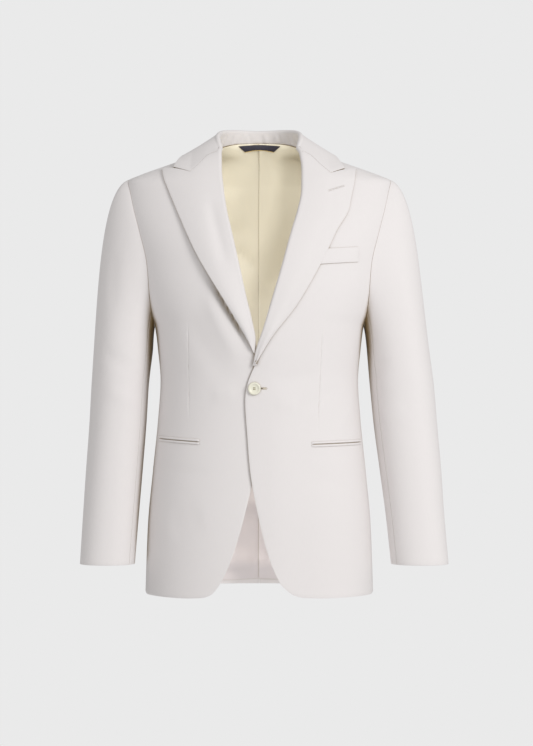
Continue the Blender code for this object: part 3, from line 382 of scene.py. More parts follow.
# On the lining, a ridge comes towards the wearer.
LINING_FOLDS = {
    "left": [
        Fold([(0.0520, -0.0600), (0.0300, -0.1600)], 0.012, 0.0022),
        Fold([(0.0600, -0.1400), (0.0150, -0.2350)], 0.011, -0.0020),
        Fold([(-0.0300, -0.5900), (0.0500, -0.5820)], 0.017, 0.0080),
        Fold([(0.0080, -0.6720), (0.0420, -0.6660)], 0.008, -0.0045),
        Fold([(0.0300, -0.6950), (0.0550, -0.7080)], 0.006, -0.0035),
        Fold([(0.0900, -0.6300), (0.0800, -0.7100)], 0.012, 0.0022),
        Fold([(0.1000, -0.3000), (0.0700, -0.4500)], 0.016, 0.0024),
    ],
    "right": [
        Fold([(0.0452, -0.1493), (0.0060, -0.1955)], 0.008, -0.0024),
        Fold([(0.0480, -0.0500), (0.0400, -0.1300)], 0.012, 0.0018),
        Fold([(0.0700, -0.6950), (0.0500, -0.7080), (0.0300, -0.7130)], 0.006, -0.0050),
        Fold([(0.0600, -0.6700), (0.0250, -0.6850), (0.0050, -0.6900)], 0.012, 0.0050),
        Fold([(-0.0300, -0.5840), (0.0500, -0.5920)], 0.017, 0.0080),
        Fold([(0.0700, -0.6200), (0.0600, -0.6900)], 0.011, -0.0020),
        Fold([(0.0950, -0.3200), (0.0800, -0.4700)], 0.016, 0.0022),
    ],
}

# ---- Materials -----------------------------------------------------------------------------------

WOOL_LIGHT = (0.840, 0.803, 0.793, 1.0)
WOOL_DARK = (0.800, 0.762, 0.752, 1.0)
WOOL_ROUGHNESS = 0.88
WOOL_SHEEN = {"Sheen Weight": 0.15, "Sheen Roughness": 0.5}
WOOL_TWILL = 0.0005         # pitch of the weave
WOOL_RELIEF = 0.00008       # and its depth
# Painted light: the one satin is cream by the neck, where light bounces inside the jacket, and greyish pink
# by the hem, in the cooler studio light there
SATIN_NECK = (0.740, 0.685, 0.545, 1.0)
SATIN_HEM = (0.810, 0.750, 0.745, 1.0)
SATIN_HEIGHTS = (-0.58, -0.40)   # between which the satin goes from one to the other
SATIN_ROUGHNESS = 0.42
SATIN_RIB = 0.0002
SATIN_RELIEF = 0.00001
LABEL_RELIEF = 0.00006
SLUB = (0.0006, 0.0120)     # width and length of the streaks in the yarn
SLUB_DETAIL = 3.0
RIB_WANDER = 0.6            # how far the ribs of a weave stray
RIB_STRENGTH = 0.5
WAVE_SCALE = math.pi / 10   # of the wave texture, at which it has one rib to a unit
# Painted shade: a warm dark colour mixed into the cloth where other cloth is near, in creases and gaps
# where shade falls
PAINTED_CREASE_SHADE = (0.280, 0.180, 0.050, 1.0)
CREASE_REACH = 0.030        # how near another cloth has to be
CREASE_OPEN = (0.25, 0.76)  # share of the sky that is clear, from a closed crease to open cloth
CREASE_SAMPLES = 8

Look = namedtuple("Look", "colour roughness")
LOOKS = {
    "label": Look((0.020, 0.018, 0.030, 1.0), 0.65),
    "button": Look((0.860, 0.835, 0.700, 1.0), 0.28),
    "button_thread": Look((0.480, 0.400, 0.200, 1.0), 0.7),
    "buttonhole_thread": Look((0.640, 0.570, 0.470, 1.0), 0.6),
    "gold_thread": Look((0.620, 0.430, 0.130, 1.0), 0.45),
    "floor": Look((0.8, 0.8, 0.8, 1.0), 0.9),
}


def feed(tree, node, sockets):
    """Give sockets of a node, by name or number, a constant or what another node puts out."""
    for name, source in sockets.items():
        if isinstance(source, bpy.types.NodeSocket):
            tree.links.new(source, node.inputs[name])
        else:
            node.inputs[name].default_value = source
    return node


def add_node(tree, kind, sockets):
    return feed(tree, tree.nodes.new("ShaderNode" + kind), sockets)


class Shading:
    """A material under construction: its nodes, and its one shader."""

    def __init__(self, name, roughness):
        self.material = bpy.data.materials.new(name)
        self.material.use_nodes = True
        self.tree = self.material.node_tree
        self.shader = self.tree.nodes["Principled BSDF"]
        self.set({"Roughness": roughness})

    def set(self, sockets):
        feed(self.tree, self.shader, sockets)

    def grain(self, across, along):
        """The weave's coordinates, in units of so many metres."""
        source = add_node(self.tree, "UVMap", {})
        source.uv_map = "grain"
        return add_node(self.tree, "Mapping", {"Scale": (1 / across, 1 / along, 1.0),
                                               "Vector": source.outputs["UV"]}).outputs["Vector"]

    def blended(self, share, low, high):
        """A colour between two others, each of which is a colour or comes from a node."""
        mix = add_node(self.tree, "Mix", {"Factor": share})
        mix.data_type = "RGBA"
        return feed(self.tree, mix, {6: low, 7: high}).outputs[2]

    def mapped(self, value, low, high):
        """0 to 1 as a value goes from low to high, with no corner."""
        ramp = add_node(self.tree, "MapRange", {"From Min": low, "From Max": high, "Value": value})
        ramp.interpolation_type = "SMOOTHSTEP"
        return ramp.outputs["Result"]

    def coloured_with_painted_shade(self, share, low, high):
        """The cloth's colour between low and high, with painted shade: it turns warm and dark in creases
        and gaps where two cloths meet, where shade falls.
        """
        near = add_node(self.tree, "AmbientOcclusion", {"Distance": CREASE_REACH})
        near.samples = CREASE_SAMPLES
        open_share = self.mapped(near.outputs["AO"], *CREASE_OPEN)
        self.set({"Base Color": self.blended(open_share, PAINTED_CREASE_SHADE, self.blended(share, low, high))})

    def ribs(self, pitch, direction, depth):
        """Fine ribs of the weave, as a bump."""
        wave = add_node(self.tree, "TexWave", {"Scale": WAVE_SCALE, "Distortion": RIB_WANDER,
                                               "Vector": self.grain(pitch, pitch)})
        wave.bands_direction = direction
        bump = add_node(self.tree, "Bump", {"Strength": RIB_STRENGTH, "Distance": depth,
                                            "Height": wave.outputs["Fac"]})
        self.set({"Normal": bump.outputs["Normal"]})


def wool():
    shading = Shading("wool", WOOL_ROUGHNESS)
    shading.set(WOOL_SHEEN)
    noise = add_node(shading.tree, "TexNoise", {"Scale": 1.0, "Detail": SLUB_DETAIL,
                                                "Vector": shading.grain(*SLUB)})
    shading.coloured_with_painted_shade(noise.outputs["Fac"], WOOL_DARK, WOOL_LIGHT)
    shading.ribs(WOOL_TWILL, "DIAGONAL", WOOL_RELIEF)
    return shading.material


def satin():
    """Cream by the neck, turning to a greyish pink towards the hem: painted light, one satin coloured
    warmer where light bounces inside the jacket and cooler where the studio light falls at the hem.
    """
    shading = Shading("satin", SATIN_ROUGHNESS)
    place = add_node(shading.tree, "TexCoord", {})
    parts = add_node(shading.tree, "SeparateXYZ", {"Vector": place.outputs["Object"]})
    shading.coloured_with_painted_shade(shading.mapped(parts.outputs["Z"], *SATIN_HEIGHTS), SATIN_HEM, SATIN_NECK)
    shading.ribs(SATIN_RIB, "X", SATIN_RELIEF)
    return shading.material


def plain(name):
    shading = Shading(name, LOOKS[name].roughness)
    shading.set({"Base Color": LOOKS[name].colour})
    return shading


def woven_label():
    shading = plain("label")
    shading.ribs(WOOL_TWILL, "Y", LABEL_RELIEF)
    return shading.material


WOOL = wool()
SATIN = satin()
LABEL = woven_label()
BUTTON, BUTTON_YARN, HOLE_YARN, GOLD_YARN = (
    plain(name).material for name in ("button", "button_thread", "buttonhole_thread", "gold_thread"))


# ---- Curves --------------------------------------------------------------------------------------

def smooth_curve(knots):
    """Return a smooth function through (place, value) knots that never swings past them."""
    places, values = (np.array(column, float) for column in zip(*sorted(knots)))
    spans = np.diff(places)
    slopes = np.diff(values) / spans
    product, total = slopes[:-1] * slopes[1:], slopes[:-1] + slopes[1:]
    bends = np.where(product > 0, 2 * product / np.where(product > 0, total, 1.0), 0.0)
    tangents = np.concatenate([slopes[:1], bends, slopes[-1:]])

    def value_at(place):
        place = np.clip(place, places[0], places[-1])
        i = np.clip(np.searchsorted(places, place, side="right") - 1, 0, len(spans) - 1)
        step = spans[i]
        t = (place - places[i]) / step
        return ((1 + 2 * t) * (1 - t) ** 2 * values[i] + t * (1 - t) ** 2 * step * tangents[i]
                + t * t * (3 - 2 * t) * values[i + 1] + t * t * (t - 1) * step * tangents[i + 1])

    return value_at


def path(spots):
    """Return a function of 0..1 along the smooth line through spots, even in length."""
    across, height = np.array(spots, float).T
    lengths = np.concatenate([[0.0], np.cumsum(np.hypot(np.diff(across), np.diff(height)))])
    shares = lengths / lengths[-1]
    curves = smooth_curve(list(zip(shares, across))), smooth_curve(list(zip(shares, height)))
    return lambda share: Spot(curves[0](share), curves[1](share))


def blend(a, b, share):
    return a + (b - a) * share


def ease(share):
    """Go from 0 to 1 with no corner at either end."""
    share = np.clip(share, 0.0, 1.0)
    return share * share * (3 - 2 * share)


def steps(count):
    return np.linspace(0.0, 1.0, count + 1)


def fine(count):
    return steps(count * FINENESS)


def unit(vectors):
    return vectors / np.linalg.norm(vectors, axis=-1, keepdims=True)


# ---- The body surface ----------------------------------------------------------------------------

BODY = {name: smooth_curve([(level.height, getattr(level, name)) for level in BODY_LEVELS])
        for name in Level._fields[1:]}


def signed_power(base, power):
    return np.sign(base) * np.abs(base) ** power


def body_form(angle, height):
    """Points of the jacket's outer form, for angles in degrees."""
    angle, height = np.broadcast_arrays(angle, height)
    turn = np.radians(angle)
    power = 2 / BODY["squareness"](height)
    depth = np.where(np.cos(turn) > 0, BODY["front_depth"](height), BODY["back_depth"](height))
    return np.stack([BODY["half_width"](height) * signed_power(np.sin(turn), power),
                     -depth * signed_power(np.cos(turn), power), height], axis=-1)


def body_normal(angle, height):
    """The outward direction of the form."""
    d_angle, d_height = 0.5, 0.0005
    around = body_form(angle + d_angle, height) - body_form(angle - d_angle, height)
    down = body_form(angle, height - d_height) - body_form(angle, height + d_height)
    return -unit(np.cross(around, down))


def body_point(angle, height, lift=0.0):
    return body_form(angle, height) + body_normal(angle, height) * np.asarray(lift)[..., None]


def angle_of(spot):
    """The girth angle, on the front, of points given by how far across and how high they are."""
    share = np.minimum(np.abs(spot.across) / BODY["half_width"](spot.height), 1.0)
    angle = np.degrees(np.arcsin(share ** (BODY["squareness"](spot.height) / 2)))
    return np.copysign(angle, spot.across)


def over_body(spot, lift):
    """The points that stand this far off the form and show at a spot when seen from the front."""
    aim = spot
    for _ in range(AIM_ROUNDS):
        point = body_point(angle_of(aim), aim.height, lift)
        aim = Spot(aim.across + spot.across - point[..., 0], aim.height + spot.height - point[..., 2])
    return body_point(angle_of(aim), aim.height, lift)


def hem_height(angle):
    return blend(HEM_FRONT_HEIGHT, HEM_BACK_HEIGHT, ease((angle - HEM_RISE_START) / HEM_RISE_SPAN))


def armhole(turn, grow=0.0):
    """The armhole seam: 0 degrees at the shoulder tip, 180 under the arm, by way of the front."""
    middle = (SHOULDER_TIP_HEIGHT + UNDERARM_HEIGHT) / 2
    half_height = (SHOULDER_TIP_HEIGHT - UNDERARM_HEIGHT) / 2 + grow
    half_angle = ARMHOLE_HALF_ANGLE + math.degrees(grow / GIRTH_RADIUS)
    return (90 - half_angle * np.sin(np.radians(turn)), middle + half_height * np.cos(np.radians(turn)))


FRONT_SEAM_TURN = 180 - math.degrees(math.asin((90 - FRONT_SEAM_ANGLE) / ARMHOLE_HALF_ANGLE))
BACK_SEAM_TURN = 180 + math.degrees(math.asin((BACK_SEAM_ANGLE - 90) / ARMHOLE_HALF_ANGLE))


def armhole_turns(fineness):
    return np.concatenate([
        blend(0, FRONT_SEAM_TURN, steps(ARMHOLE_FRONT_STEPS * fineness)),
        blend(FRONT_SEAM_TURN, BACK_SEAM_TURN, steps(ARMHOLE_SIDE_STEPS * fineness))[1:],
        blend(BACK_SEAM_TURN, 360, steps(ARMHOLE_BACK_STEPS * fineness))[1:]])


# ---- Folds of the cloth --------------------------------------------------------------------------

FOLD_END = 0.35             # share of a fold's length over which it fades out, at either end
FOLD_LINE_STEPS = 10


def relief(points, folds, place):
    """How far the folds raise the cloth at each point; place finds the points of a fold's line."""
    total = np.zeros(points.shape[:-1])
    for fold in folds:
        line = place(path(fold.line)(steps(FOLD_LINE_STEPS)))
        nearest = np.full(total.shape, np.inf)
        along = np.zeros(total.shape)
        for k, (start, end) in enumerate(zip(line, line[1:])):
            run = end - start
            share = np.clip((points - start) @ run / (run @ run), 0.0, 1.0)
            gap = np.linalg.norm(points - start - share[..., None] * run, axis=-1)
            along = np.where(gap < nearest, (k + share) / FOLD_LINE_STEPS, along)
            nearest = np.minimum(gap, nearest)
        fade = ease(along / FOLD_END) * ease((1 - along) / FOLD_END)
        total += fold.depth * np.exp(-(nearest / fold.width) ** 2) * fade
    return total


def on_front(spots):
    return body_form(angle_of(spots), spots.height)


def on_back(spots):
    return body_form(180 - angle_of(spots), spots.height)


# ---- Making cloth --------------------------------------------------------------------------------

def placed(name, data):
    """Put an object into the scene."""
    made = bpy.data.objects.new(name, data)
    bpy.context.scene.collection.objects.link(made)
    return made


@contextmanager
def edited(mesh):
    """The faces of a mesh, to be changed within a block."""
    work = bmesh.new()
    work.from_mesh(mesh)
    yield work
    work.to_mesh(mesh)
    work.free()


def finished(name, mesh, nodes, round_off=EDGE_ROUND):
    """Make a piece of a mesh, round its edges, and let it stand for its nodes."""
    mesh.shade_smooth()
    piece = placed(name, mesh)
    if round_off:
        bevel = piece.modifiers.new("round", "BEVEL")
        bevel.width = round_off
        bevel.segments = BEVEL_SEGMENTS
        bevel.limit_method = "ANGLE"
        bevel.angle_limit = BEVEL_ANGLE
        bevel.harden_normals = False
    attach(piece, "root")
    if nodes:
        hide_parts(*nodes)
    return piece


def wall_mesh(name, outer, inner, grain, material, inside):
    """The mesh of a closed wall of cloth. grain holds the weave's own coordinates at each point, and
    inside says which inner faces are satin."""
    rows, columns = outer.shape[:2]
    count = rows * columns
    index = np.arange(count).reshape(rows, columns)
    quads = np.stack([index[:-1, :-1], index[:-1, 1:], index[1:, 1:], index[1:, :-1]], -1).reshape(-1, 4)
    border = np.concatenate([index[0, :-1], index[:-1, -1], index[-1, :0:-1], index[:0:-1, 0]])
    following = np.roll(border, -1)
    rim = np.stack([following, border, border + count, following + count], -1)
    mesh = bpy.data.meshes.new(name)
    faces = np.concatenate([quads, quads[:, ::-1] + count, rim])
    mesh.from_pydata(np.concatenate([outer.reshape(-1, 3), inner.reshape(-1, 3)]).tolist(), [],
                     faces.tolist())
    mesh.materials.append(material)
    if inside is not None:
        mesh.materials.append(SATIN)
        chosen = np.zeros(len(faces), np.int32)
        chosen[len(quads):2 * len(quads)] = inside.reshape(-1)
        mesh.polygons.foreach_set("material_index", chosen)
    corners = np.zeros(len(mesh.loops), np.int32)
    mesh.loops.foreach_get("vertex_index", corners)
    flat = np.stack(np.broadcast_arrays(*grain), -1).reshape(-1, 2)
    mesh.uv_layers.new(name="grain").uv.foreach_set("vector", flat[corners % count].ravel())
    with edited(mesh) as work:
        bmesh.ops.recalc_face_normals(work, faces=work.faces[:])
    return mesh


def mirrored(points, side):
    return points * np.array([-1.0, 1.0, 1.0]) if side == "right" else points


def cloth(node, side, outer, inner, grain, inside=None, name=None, material=WOOL,
          round_off=EDGE_ROUND):
    """The wall of cloth that stands for a node, from the points of its own side."""
    name = name or f"cloth_{node}"
    mesh = wall_mesh(name, mirrored(outer, side), mirrored(inner, side), grain, material, inside)
    return finished(name, mesh, [node], round_off)


def ruled(start, end, shares):
    """Grids of angle and height whose rows run from each start to its end."""
    return tuple(blend(a[:, None], b[:, None], shares) for a, b in zip(start, end))


def gap_angle(height):
    """Half a seam gap, in degrees of girth."""
    return np.degrees(SEAM_GAP / 2 / BODY["half_width"](height))


def joined(*lines):
    return tuple(np.concatenate(parts) for parts in zip(*lines))


def cut(line, *which):
    return tuple(part[slice(*which)] for part in line)


def grid_normal(grid):
    """The average direction of the faces round each point of a grid."""
    return unit(np.cross(np.gradient(grid, axis=0), np.gradient(grid, axis=1)))


# ---- Body panels ---------------------------------------------------------------------------------

def flat_lift(angle, height):
    return np.zeros(np.broadcast(angle, height).shape)


def overlap_lift(side):
    """How far a front is raised: the buttoned left front rises over the right one."""
    def lift(angle, height):
        across = body_form(angle, height)[..., 0]
        return (OVERLAP_LIFT * ease((OVERLAP_OUTER - across) / OVERLAP_RAMP)
                * ease((OVERLAP_TOP - height) / OVERLAP_RAMP))

    return lift if side == "left" else flat_lift


def front_lift(side):
    """The lift of a front with its folds."""
    def lift(angle, height):
        folds = relief(body_form(angle, height), FRONT_FOLDS[side], on_front)
        return overlap_lift(side)(angle, height) + folds

    return lift


def seam_line(start, end_angle, count):
    """A seam from a point of the armhole down to the hem, without that first point."""
    share = fine(count)[1:]
    return blend(start[0], end_angle, share), blend(start[1], hem_height(end_angle), share)


def collar_curve(column):
    return smooth_curve([(station.angle, getattr(station, column)) for station in COLLAR])


def neck_line(start, end, count):
    """The seam between the body and the collar."""
    angle = blend(start, end, fine(count))
    return angle, collar_curve("seam_height")(angle)


def lapel_roll(side):
    """The roll of the lapel, from the collar to where it ends at the front edge."""
    angle = COLLAR_FRONT_ANGLE[side]
    top = body_form(angle, collar_curve("seam_height")(angle))
    return path([Spot(top[0], top[2])] + ROLL[side] + [FRONT_EDGE[side][0]])


def on_body(spots):
    return angle_of(spots), spots.height


def front_grid(side):
    """Angles and heights of rows from the neck, roll or front edge to the armhole or side seam."""
    rows = ARMHOLE_FRONT_STEPS + SEAM_STEPS
    neck = cut(neck_line(90.0, COLLAR_FRONT_ANGLE[side], NECK_FRONT_STEPS), 0, -1)
    roll = on_body(lapel_roll(side)(fine(ROLL_STEPS)))
    edge = on_body(path(FRONT_EDGE[side])(fine(rows - NECK_FRONT_STEPS - ROLL_STEPS)[1:]))
    inner = joined(neck, roll, edge)
    inner[0][0] -= gap_angle(inner[1][0])
    turns = armhole_turns(FINENESS)[:ARMHOLE_FRONT_STEPS * FINENESS + 1]
    outer = armhole(turns, grow=SEAM_GAP)
    outer = joined(outer, seam_line((outer[0][-1], outer[1][-1]), FRONT_SEAM_ANGLE, SEAM_STEPS))
    outer[0][:] -= gap_angle(outer[1])
    angle, height = ruled(inner, outer, fine(FRONT_COLUMNS))
    seam = body_form(FRONT_SEAM_ANGLE, HEM_FRONT_HEIGHT)
    hem = path(HEM_ROUND[side] + [Spot(seam[0], HEM_FRONT_HEIGHT)])
    bottom = on_body(hem(fine(FRONT_COLUMNS)))
    share = steps(len(angle) - 1)[:, None] ** HEM_BEND_POWER
    for grid, target in ((angle, bottom[0]), (height, bottom[1])):
        target[-1] = grid[-1, -1]
        grid += (target - grid[-1]) * share
    return angle, height


def back_edges(top_rise=0.0, hem_rise=0.0):
    """The two lines that a back lies between: neck and centre, armhole and side."""
    neck = neck_line(90.0, 180.0, NECK_BACK_STEPS)
    neck[1][:] += top_rise
    share = fine(ARMHOLE_BACK_STEPS + SEAM_STEPS - NECK_BACK_STEPS)[1:]
    centre = (np.full(len(share), 180.0),
              blend(neck[1][-1], hem_height(180) + hem_rise, share ** BACK_ROW_CROWDING))
    turns = armhole_turns(FINENESS)[::-1][:ARMHOLE_BACK_STEPS * FINENESS + 1]
    outer = armhole(turns, grow=SEAM_GAP)
    seam = seam_line((outer[0][-1], outer[1][-1]), BACK_SEAM_HEM_ANGLE, SEAM_STEPS)
    seam[1][:] += hem_rise * fine(SEAM_STEPS)[1:]
    return joined(neck, centre), joined(outer, seam)


def body_grain(angle, height):
    return np.radians(angle) * GIRTH_RADIUS, height


def body_piece(kind, side, grid, lift, inside=None, thickness=BODY_CLOTH):
    angle, height = grid
    raised = lift(angle, height)
    outer, inner = (body_point(angle, height, raised - depth) for depth in (0.0, thickness))
    return cloth(f"{kind}_{side}", side, outer, inner, body_grain(angle, height), inside)


def front_piece(side):
    angle, height = front_grid(side)
    from_edge = np.linalg.norm(body_form(angle, height) - body_form(angle[:, :1], height[:, :1]), axis=-1)
    inside = from_edge[:-1, :-1] > FACING_WIDTH
    return body_piece("front", side, (angle, height), front_lift(side), inside, FRONT_CLOTH)


def back_lift(side):
    """The lift of a back with its folds."""
    return lambda angle, height: relief(body_form(angle, height), BACK_FOLDS[side], on_back)


def back_piece(side):
    inner, outer = back_edges()
    centre = angle_of(Spot(np.full(len(inner[1]), SEAM_GAP / 2), inner[1]))
    inner[0][:] = np.minimum(inner[0], 180 - centre)
    inner[0][0] += gap_angle(inner[1][0])
    outer[0][:] += gap_angle(outer[1])
    grid = ruled(inner, outer, fine(BACK_COLUMNS))
    return body_piece("back", side, grid, back_lift(side))


def side_piece(side):
    first, last = ARMHOLE_FRONT_STEPS * FINENESS, (ARMHOLE_FRONT_STEPS + ARMHOLE_SIDE_STEPS) * FINENESS
    top = armhole(armhole_turns(FINENESS)[first:last + 1], grow=SEAM_GAP)
    corners = [(top[0][k], top[1][k]) for k in (0, -1)]
    edges = []
    for corner, end_angle, way in zip(corners, (FRONT_SEAM_ANGLE, BACK_SEAM_HEM_ANGLE), (1, -1)):
        line = joined(([corner[0]], [corner[1]]), seam_line(corner, end_angle, SEAM_STEPS))
        edges.append((line[0] + way * gap_angle(line[1]), line[1]))
    angle, height = ruled(*edges, fine(SIDE_COLUMNS))
    share = (1 - steps(len(angle) - 1)[:, None]) ** UNDERARM_BEND_POWER
    for grid, target in ((angle, top[0]), (height, top[1])):
        change = target - grid[0]
        change[[0, -1]] = 0.0
        grid += change * share
    inside = np.ones((len(angle) - 1, angle.shape[1] - 1))
    return body_piece("side", side, (angle, height), flat_lift, inside)


# ---- Sleeves -------------------------------------------------------------------------------------

def sleeve_levels(side):
    heights = [level.height for level in SLEEVE_LEVELS]
    outer, inner = ([getattr(level, f"{side}_{edge}") for level in SLEEVE_LEVELS]
                    for edge in ("outer", "inner"))
    return {
        "middle_x": smooth_curve([(h, (o + i) / 2) for h, o, i in zip(heights, outer, inner)]),
        "half_width": smooth_curve([(h, (o - i) / 2) for h, o, i in zip(heights, outer, inner)]),
        "middle_y": smooth_curve([(level.height, level.middle_y) for level in SLEEVE_LEVELS]),
        "half_depth": smooth_curve([(level.height, level.half_depth) for level in SLEEVE_LEVELS]),
    }


def sleeve_ring(levels, turn, height):
    turn, height = np.broadcast_arrays(turn, height)
    power = 2 / SLEEVE_SQUARENESS
    across = signed_power(np.cos(np.radians(turn)), power)
    along = signed_power(np.sin(np.radians(turn)), power)
    return np.stack([levels["middle_x"](height) + levels["half_width"](height) * across,
                     levels["middle_y"](height) - levels["half_depth"](height) * along,
                     height], axis=-1)


def sleeve_point(levels, turn, share):
    """The sleeve's outer form: share 0..1 is the cap and 1..2 the arm."""
    turn, share = np.broadcast_arrays(turn, share)
    arm = sleeve_ring(levels, turn, blend(BICEPS_HEIGHT, CUFF_HEIGHT, np.maximum(share - 1, 0.0)))
    under = (1 - np.cos(np.radians(turn))) / 2
    start = body_point(*armhole(turn, grow=SLEEVE_SEAM_GROW), SEAM_GAP)
    end = sleeve_ring(levels, turn, BICEPS_HEIGHT)
    reach = blend(CAP_REACH, UNDERARM_REACH, under ** CAP_REACH_POWER)
    leave = np.stack([reach, np.zeros_like(reach), np.full_like(reach, -CAP_DROP)], axis=-1)
    arrive = unit(end - sleeve_ring(levels, turn, BICEPS_HEIGHT - ARM_TANGENT_LENGTH))
    before_end = end + arrive * blend(CAP_LENGTH, UNDERARM_LENGTH, under)[..., None]
    t = np.clip(share, 0.0, 1.0)[..., None]
    cap = (start * (1 - t) ** 3 + (start + leave) * (3 * t * (1 - t) ** 2)
           + before_end * (3 * t * t * (1 - t)) + end * t ** 3)
    return np.where((share > 1)[..., None], arm, cap)


def sleeve_normal(levels, turn, share):
    d_turn, d_share = 1.0, 0.01
    low, high = np.maximum(share - d_share, 0.0), np.minimum(share + d_share, 2.0)
    around = sleeve_point(levels, turn + d_turn, share) - sleeve_point(levels, turn - d_turn, share)
    down = sleeve_point(levels, turn, high) - sleeve_point(levels, turn, low)
    return unit(np.cross(around, down))


def sleeve_piece(kind, side, turns):
    levels = sleeve_levels(side)
    share = np.concatenate([steps(CAP_STEPS * SLEEVE_FINENESS),
                            1 + steps(SLEEVE_STEPS * SLEEVE_FINENESS)[1:]])[:, None]
    half_gap = math.degrees(SEAM_GAP / 2 / SLEEVE_RADIUS)
    turns = np.concatenate([[turns[0] + half_gap], turns[1:-1], [turns[-1] - half_gap]])
    base = sleeve_point(levels, turns, share)
    normal = sleeve_normal(levels, turns, share)
    folds = relief(base, SLEEVE_FOLDS[side], lambda spots: sleeve_point(levels, spots.across, spots.height))
    raised = folds * ease(share / HEAD_SHARE)
    outer, inner = (base + normal * (raised - depth)[..., None] for depth in (0.0, BODY_CLOTH))
    height = base[..., 2]
    grain = np.radians(turns) * SLEEVE_RADIUS, height
    inside = height[:-1, :-1] > CUFF_HEIGHT + CUFF_FACING
    return cloth(f"sleeve_{kind}_{side}", side, outer, inner, grain, inside)


def sleeve(side):
    turns = armhole_turns(SLEEVE_FINENESS)
    first, last = UNDER_SLEEVE_FIRST * SLEEVE_FINENESS, UNDER_SLEEVE_LAST * SLEEVE_FINENESS
    over = np.concatenate([turns[last:-1] - 360, turns[:first + 1]])
    return sleeve_piece("top", side, over), sleeve_piece("under", side, turns[first:last + 1])


# ---- Lapels and collar ---------------------------------------------------------------------------

def fold(place, normal, towards_fold, radius):
    """The roll: half a turn of cloth from the edge of a panel outwards, as far and near points."""
    turn = math.pi * steps(FOLD_STEPS)[:, None]
    radius = np.broadcast_to(radius, (len(place), 1))[:, None]
    spokes = towards_fold[:, None] * np.sin(turn) - normal[:, None] * np.cos(turn)
    centre = place[:, None] + normal[:, None] * radius
    return centre + spokes * (radius + LAPEL_CLOTH), centre + spokes * radius


def collar_angles(side):
    return np.concatenate([blend(COLLAR_FRONT_ANGLE[side], 90.0, fine(NECK_FRONT_STEPS)),
                           blend(90.0, 180.0, fine(NECK_BACK_STEPS))[1:]])


def roll_line(side):
    """The whole roll as angles and heights, from the centre back round to the front edge, with the
    body's normal there and the direction square to the roll, towards the opening of the neck."""
    angles = collar_angles(side)[::-1]
    roll = cut(on_body(lapel_roll(side)(fine(ROLL_STEPS))), 1, None)
    angle, height = joined((angles, collar_curve("roll_height")(angles)), roll)
    normal = body_normal(angle, height)
    return angle, height, normal, unit(np.cross(np.gradient(body_form(angle, height), axis=0), normal))


def face_lift(share, edge_lift):
    """How far a turned-out face stands off the body: at the roll, and on to its edge."""
    return blend(2 * FOLD_RADIUS + LAPEL_CLOTH, edge_lift, share) + LEAF_CROWN * np.sin(math.pi * share)


def gorge_line(side, rise, tip=()):
    """Spots from the roll down the gorge, and on up one edge of the notch."""
    mouth = NOTCH_MOUTH[side][0], NOTCH_MOUTH[side][1] + rise
    down, up = path([lapel_roll(side)(0.0)] + GORGE + [NOTCH[side]]), path([NOTCH[side], mouth, *tip])
    return Spot(*joined(down(fine(GORGE_STEPS)), cut(up(fine(NOTCH_STEPS)), 1, None)))


def edge_backs(points, spots):
    """The backs of points on the gorge, square to the body, so that both cloths end in parallel."""
    return points - body_normal(*on_body(spots)) * LAPEL_CLOTH


def turned_inner(outer, near, first_back, facing):
    """The inner grid of a lapel or collar: its first columns are known, and its first row's end."""
    inner = outer - grid_normal(outer) * (facing * LAPEL_CLOTH)
    inner[:, :near.shape[1]] = near
    inner[0, near.shape[1]:] = first_back
    return inner


def lapel_grid(side):
    """The outer and inner points of a lapel, in its own side's coordinates."""
    lift, roll, edge = overlap_lift(side), lapel_roll(side), path(LAPEL_EDGE[side])
    angle, height, normal, inward = (part[-ROLL_STEPS * FINENESS - 1:] for part in roll_line(side))
    share = fine(ROLL_STEPS)[:, None]
    place = body_point(angle, height, lift(angle, height)) + inward * ROLL_GAP
    place[0] += np.cross(normal[0], inward[0]) * GORGE_GAP
    radius = blend(FOLD_RADIUS, BREAK_FOLD_RADIUS, ease((share - BREAK_SHARE) / (1 - BREAK_SHARE)))
    far, near = fold(place, normal, inward, radius)
    top = gorge_line(side, -PEAK_TOP_DROP, [LAPEL_EDGE[side][0]])
    column = fine(GORGE_STEPS + NOTCH_STEPS)
    bend = (1 - share) ** GORGE_BEND_POWER
    spots = []
    for start, end, line, drop in zip(roll(share), edge(share), top, (0.0, GORGE_GAP)):
        spots.append(blend(start, end, column) + (line - drop - blend(line[0], line[-1], column)) * bend)
    here = Spot(spots[0][:, 1:], spots[1][:, 1:])
    column = column[1:]
    stand_off = (GORGE_LIFT - EDGE_SETTLE[side] * column ** EDGE_SETTLE_POWER
                 + LAPEL_STAND_OFF[side] * np.sin(math.pi * share ** STAND_OFF_POWER))
    raised = face_lift(column, stand_off) + lift(*on_body(here)) - (FOLD_RADIUS - radius) * 2 * (1 - column)
    raised = raised + relief(on_front(here), LAPEL_FOLDS[side], on_front)
    leaf = over_body(here, raised)
    outer = np.concatenate([far, leaf], axis=1)
    back = edge_backs(leaf[0], Spot(top.across[1:], top.height[1:]))
    return outer, turned_inner(outer, near, back, 1)


def run_lengths(grid, axis):
    """How far each point of a grid lies along its row or column."""
    gaps = np.linalg.norm(np.diff(grid, axis=axis), axis=-1)
    return np.concatenate([np.zeros_like(np.take(gaps, [0], axis)), np.cumsum(gaps, axis)], axis)


def lapel_piece(side):
    outer, inner = lapel_grid(side)
    return cloth(f"lapel_{side}", side, outer, inner, (run_lengths(outer, 1), run_lengths(outer, 0)))


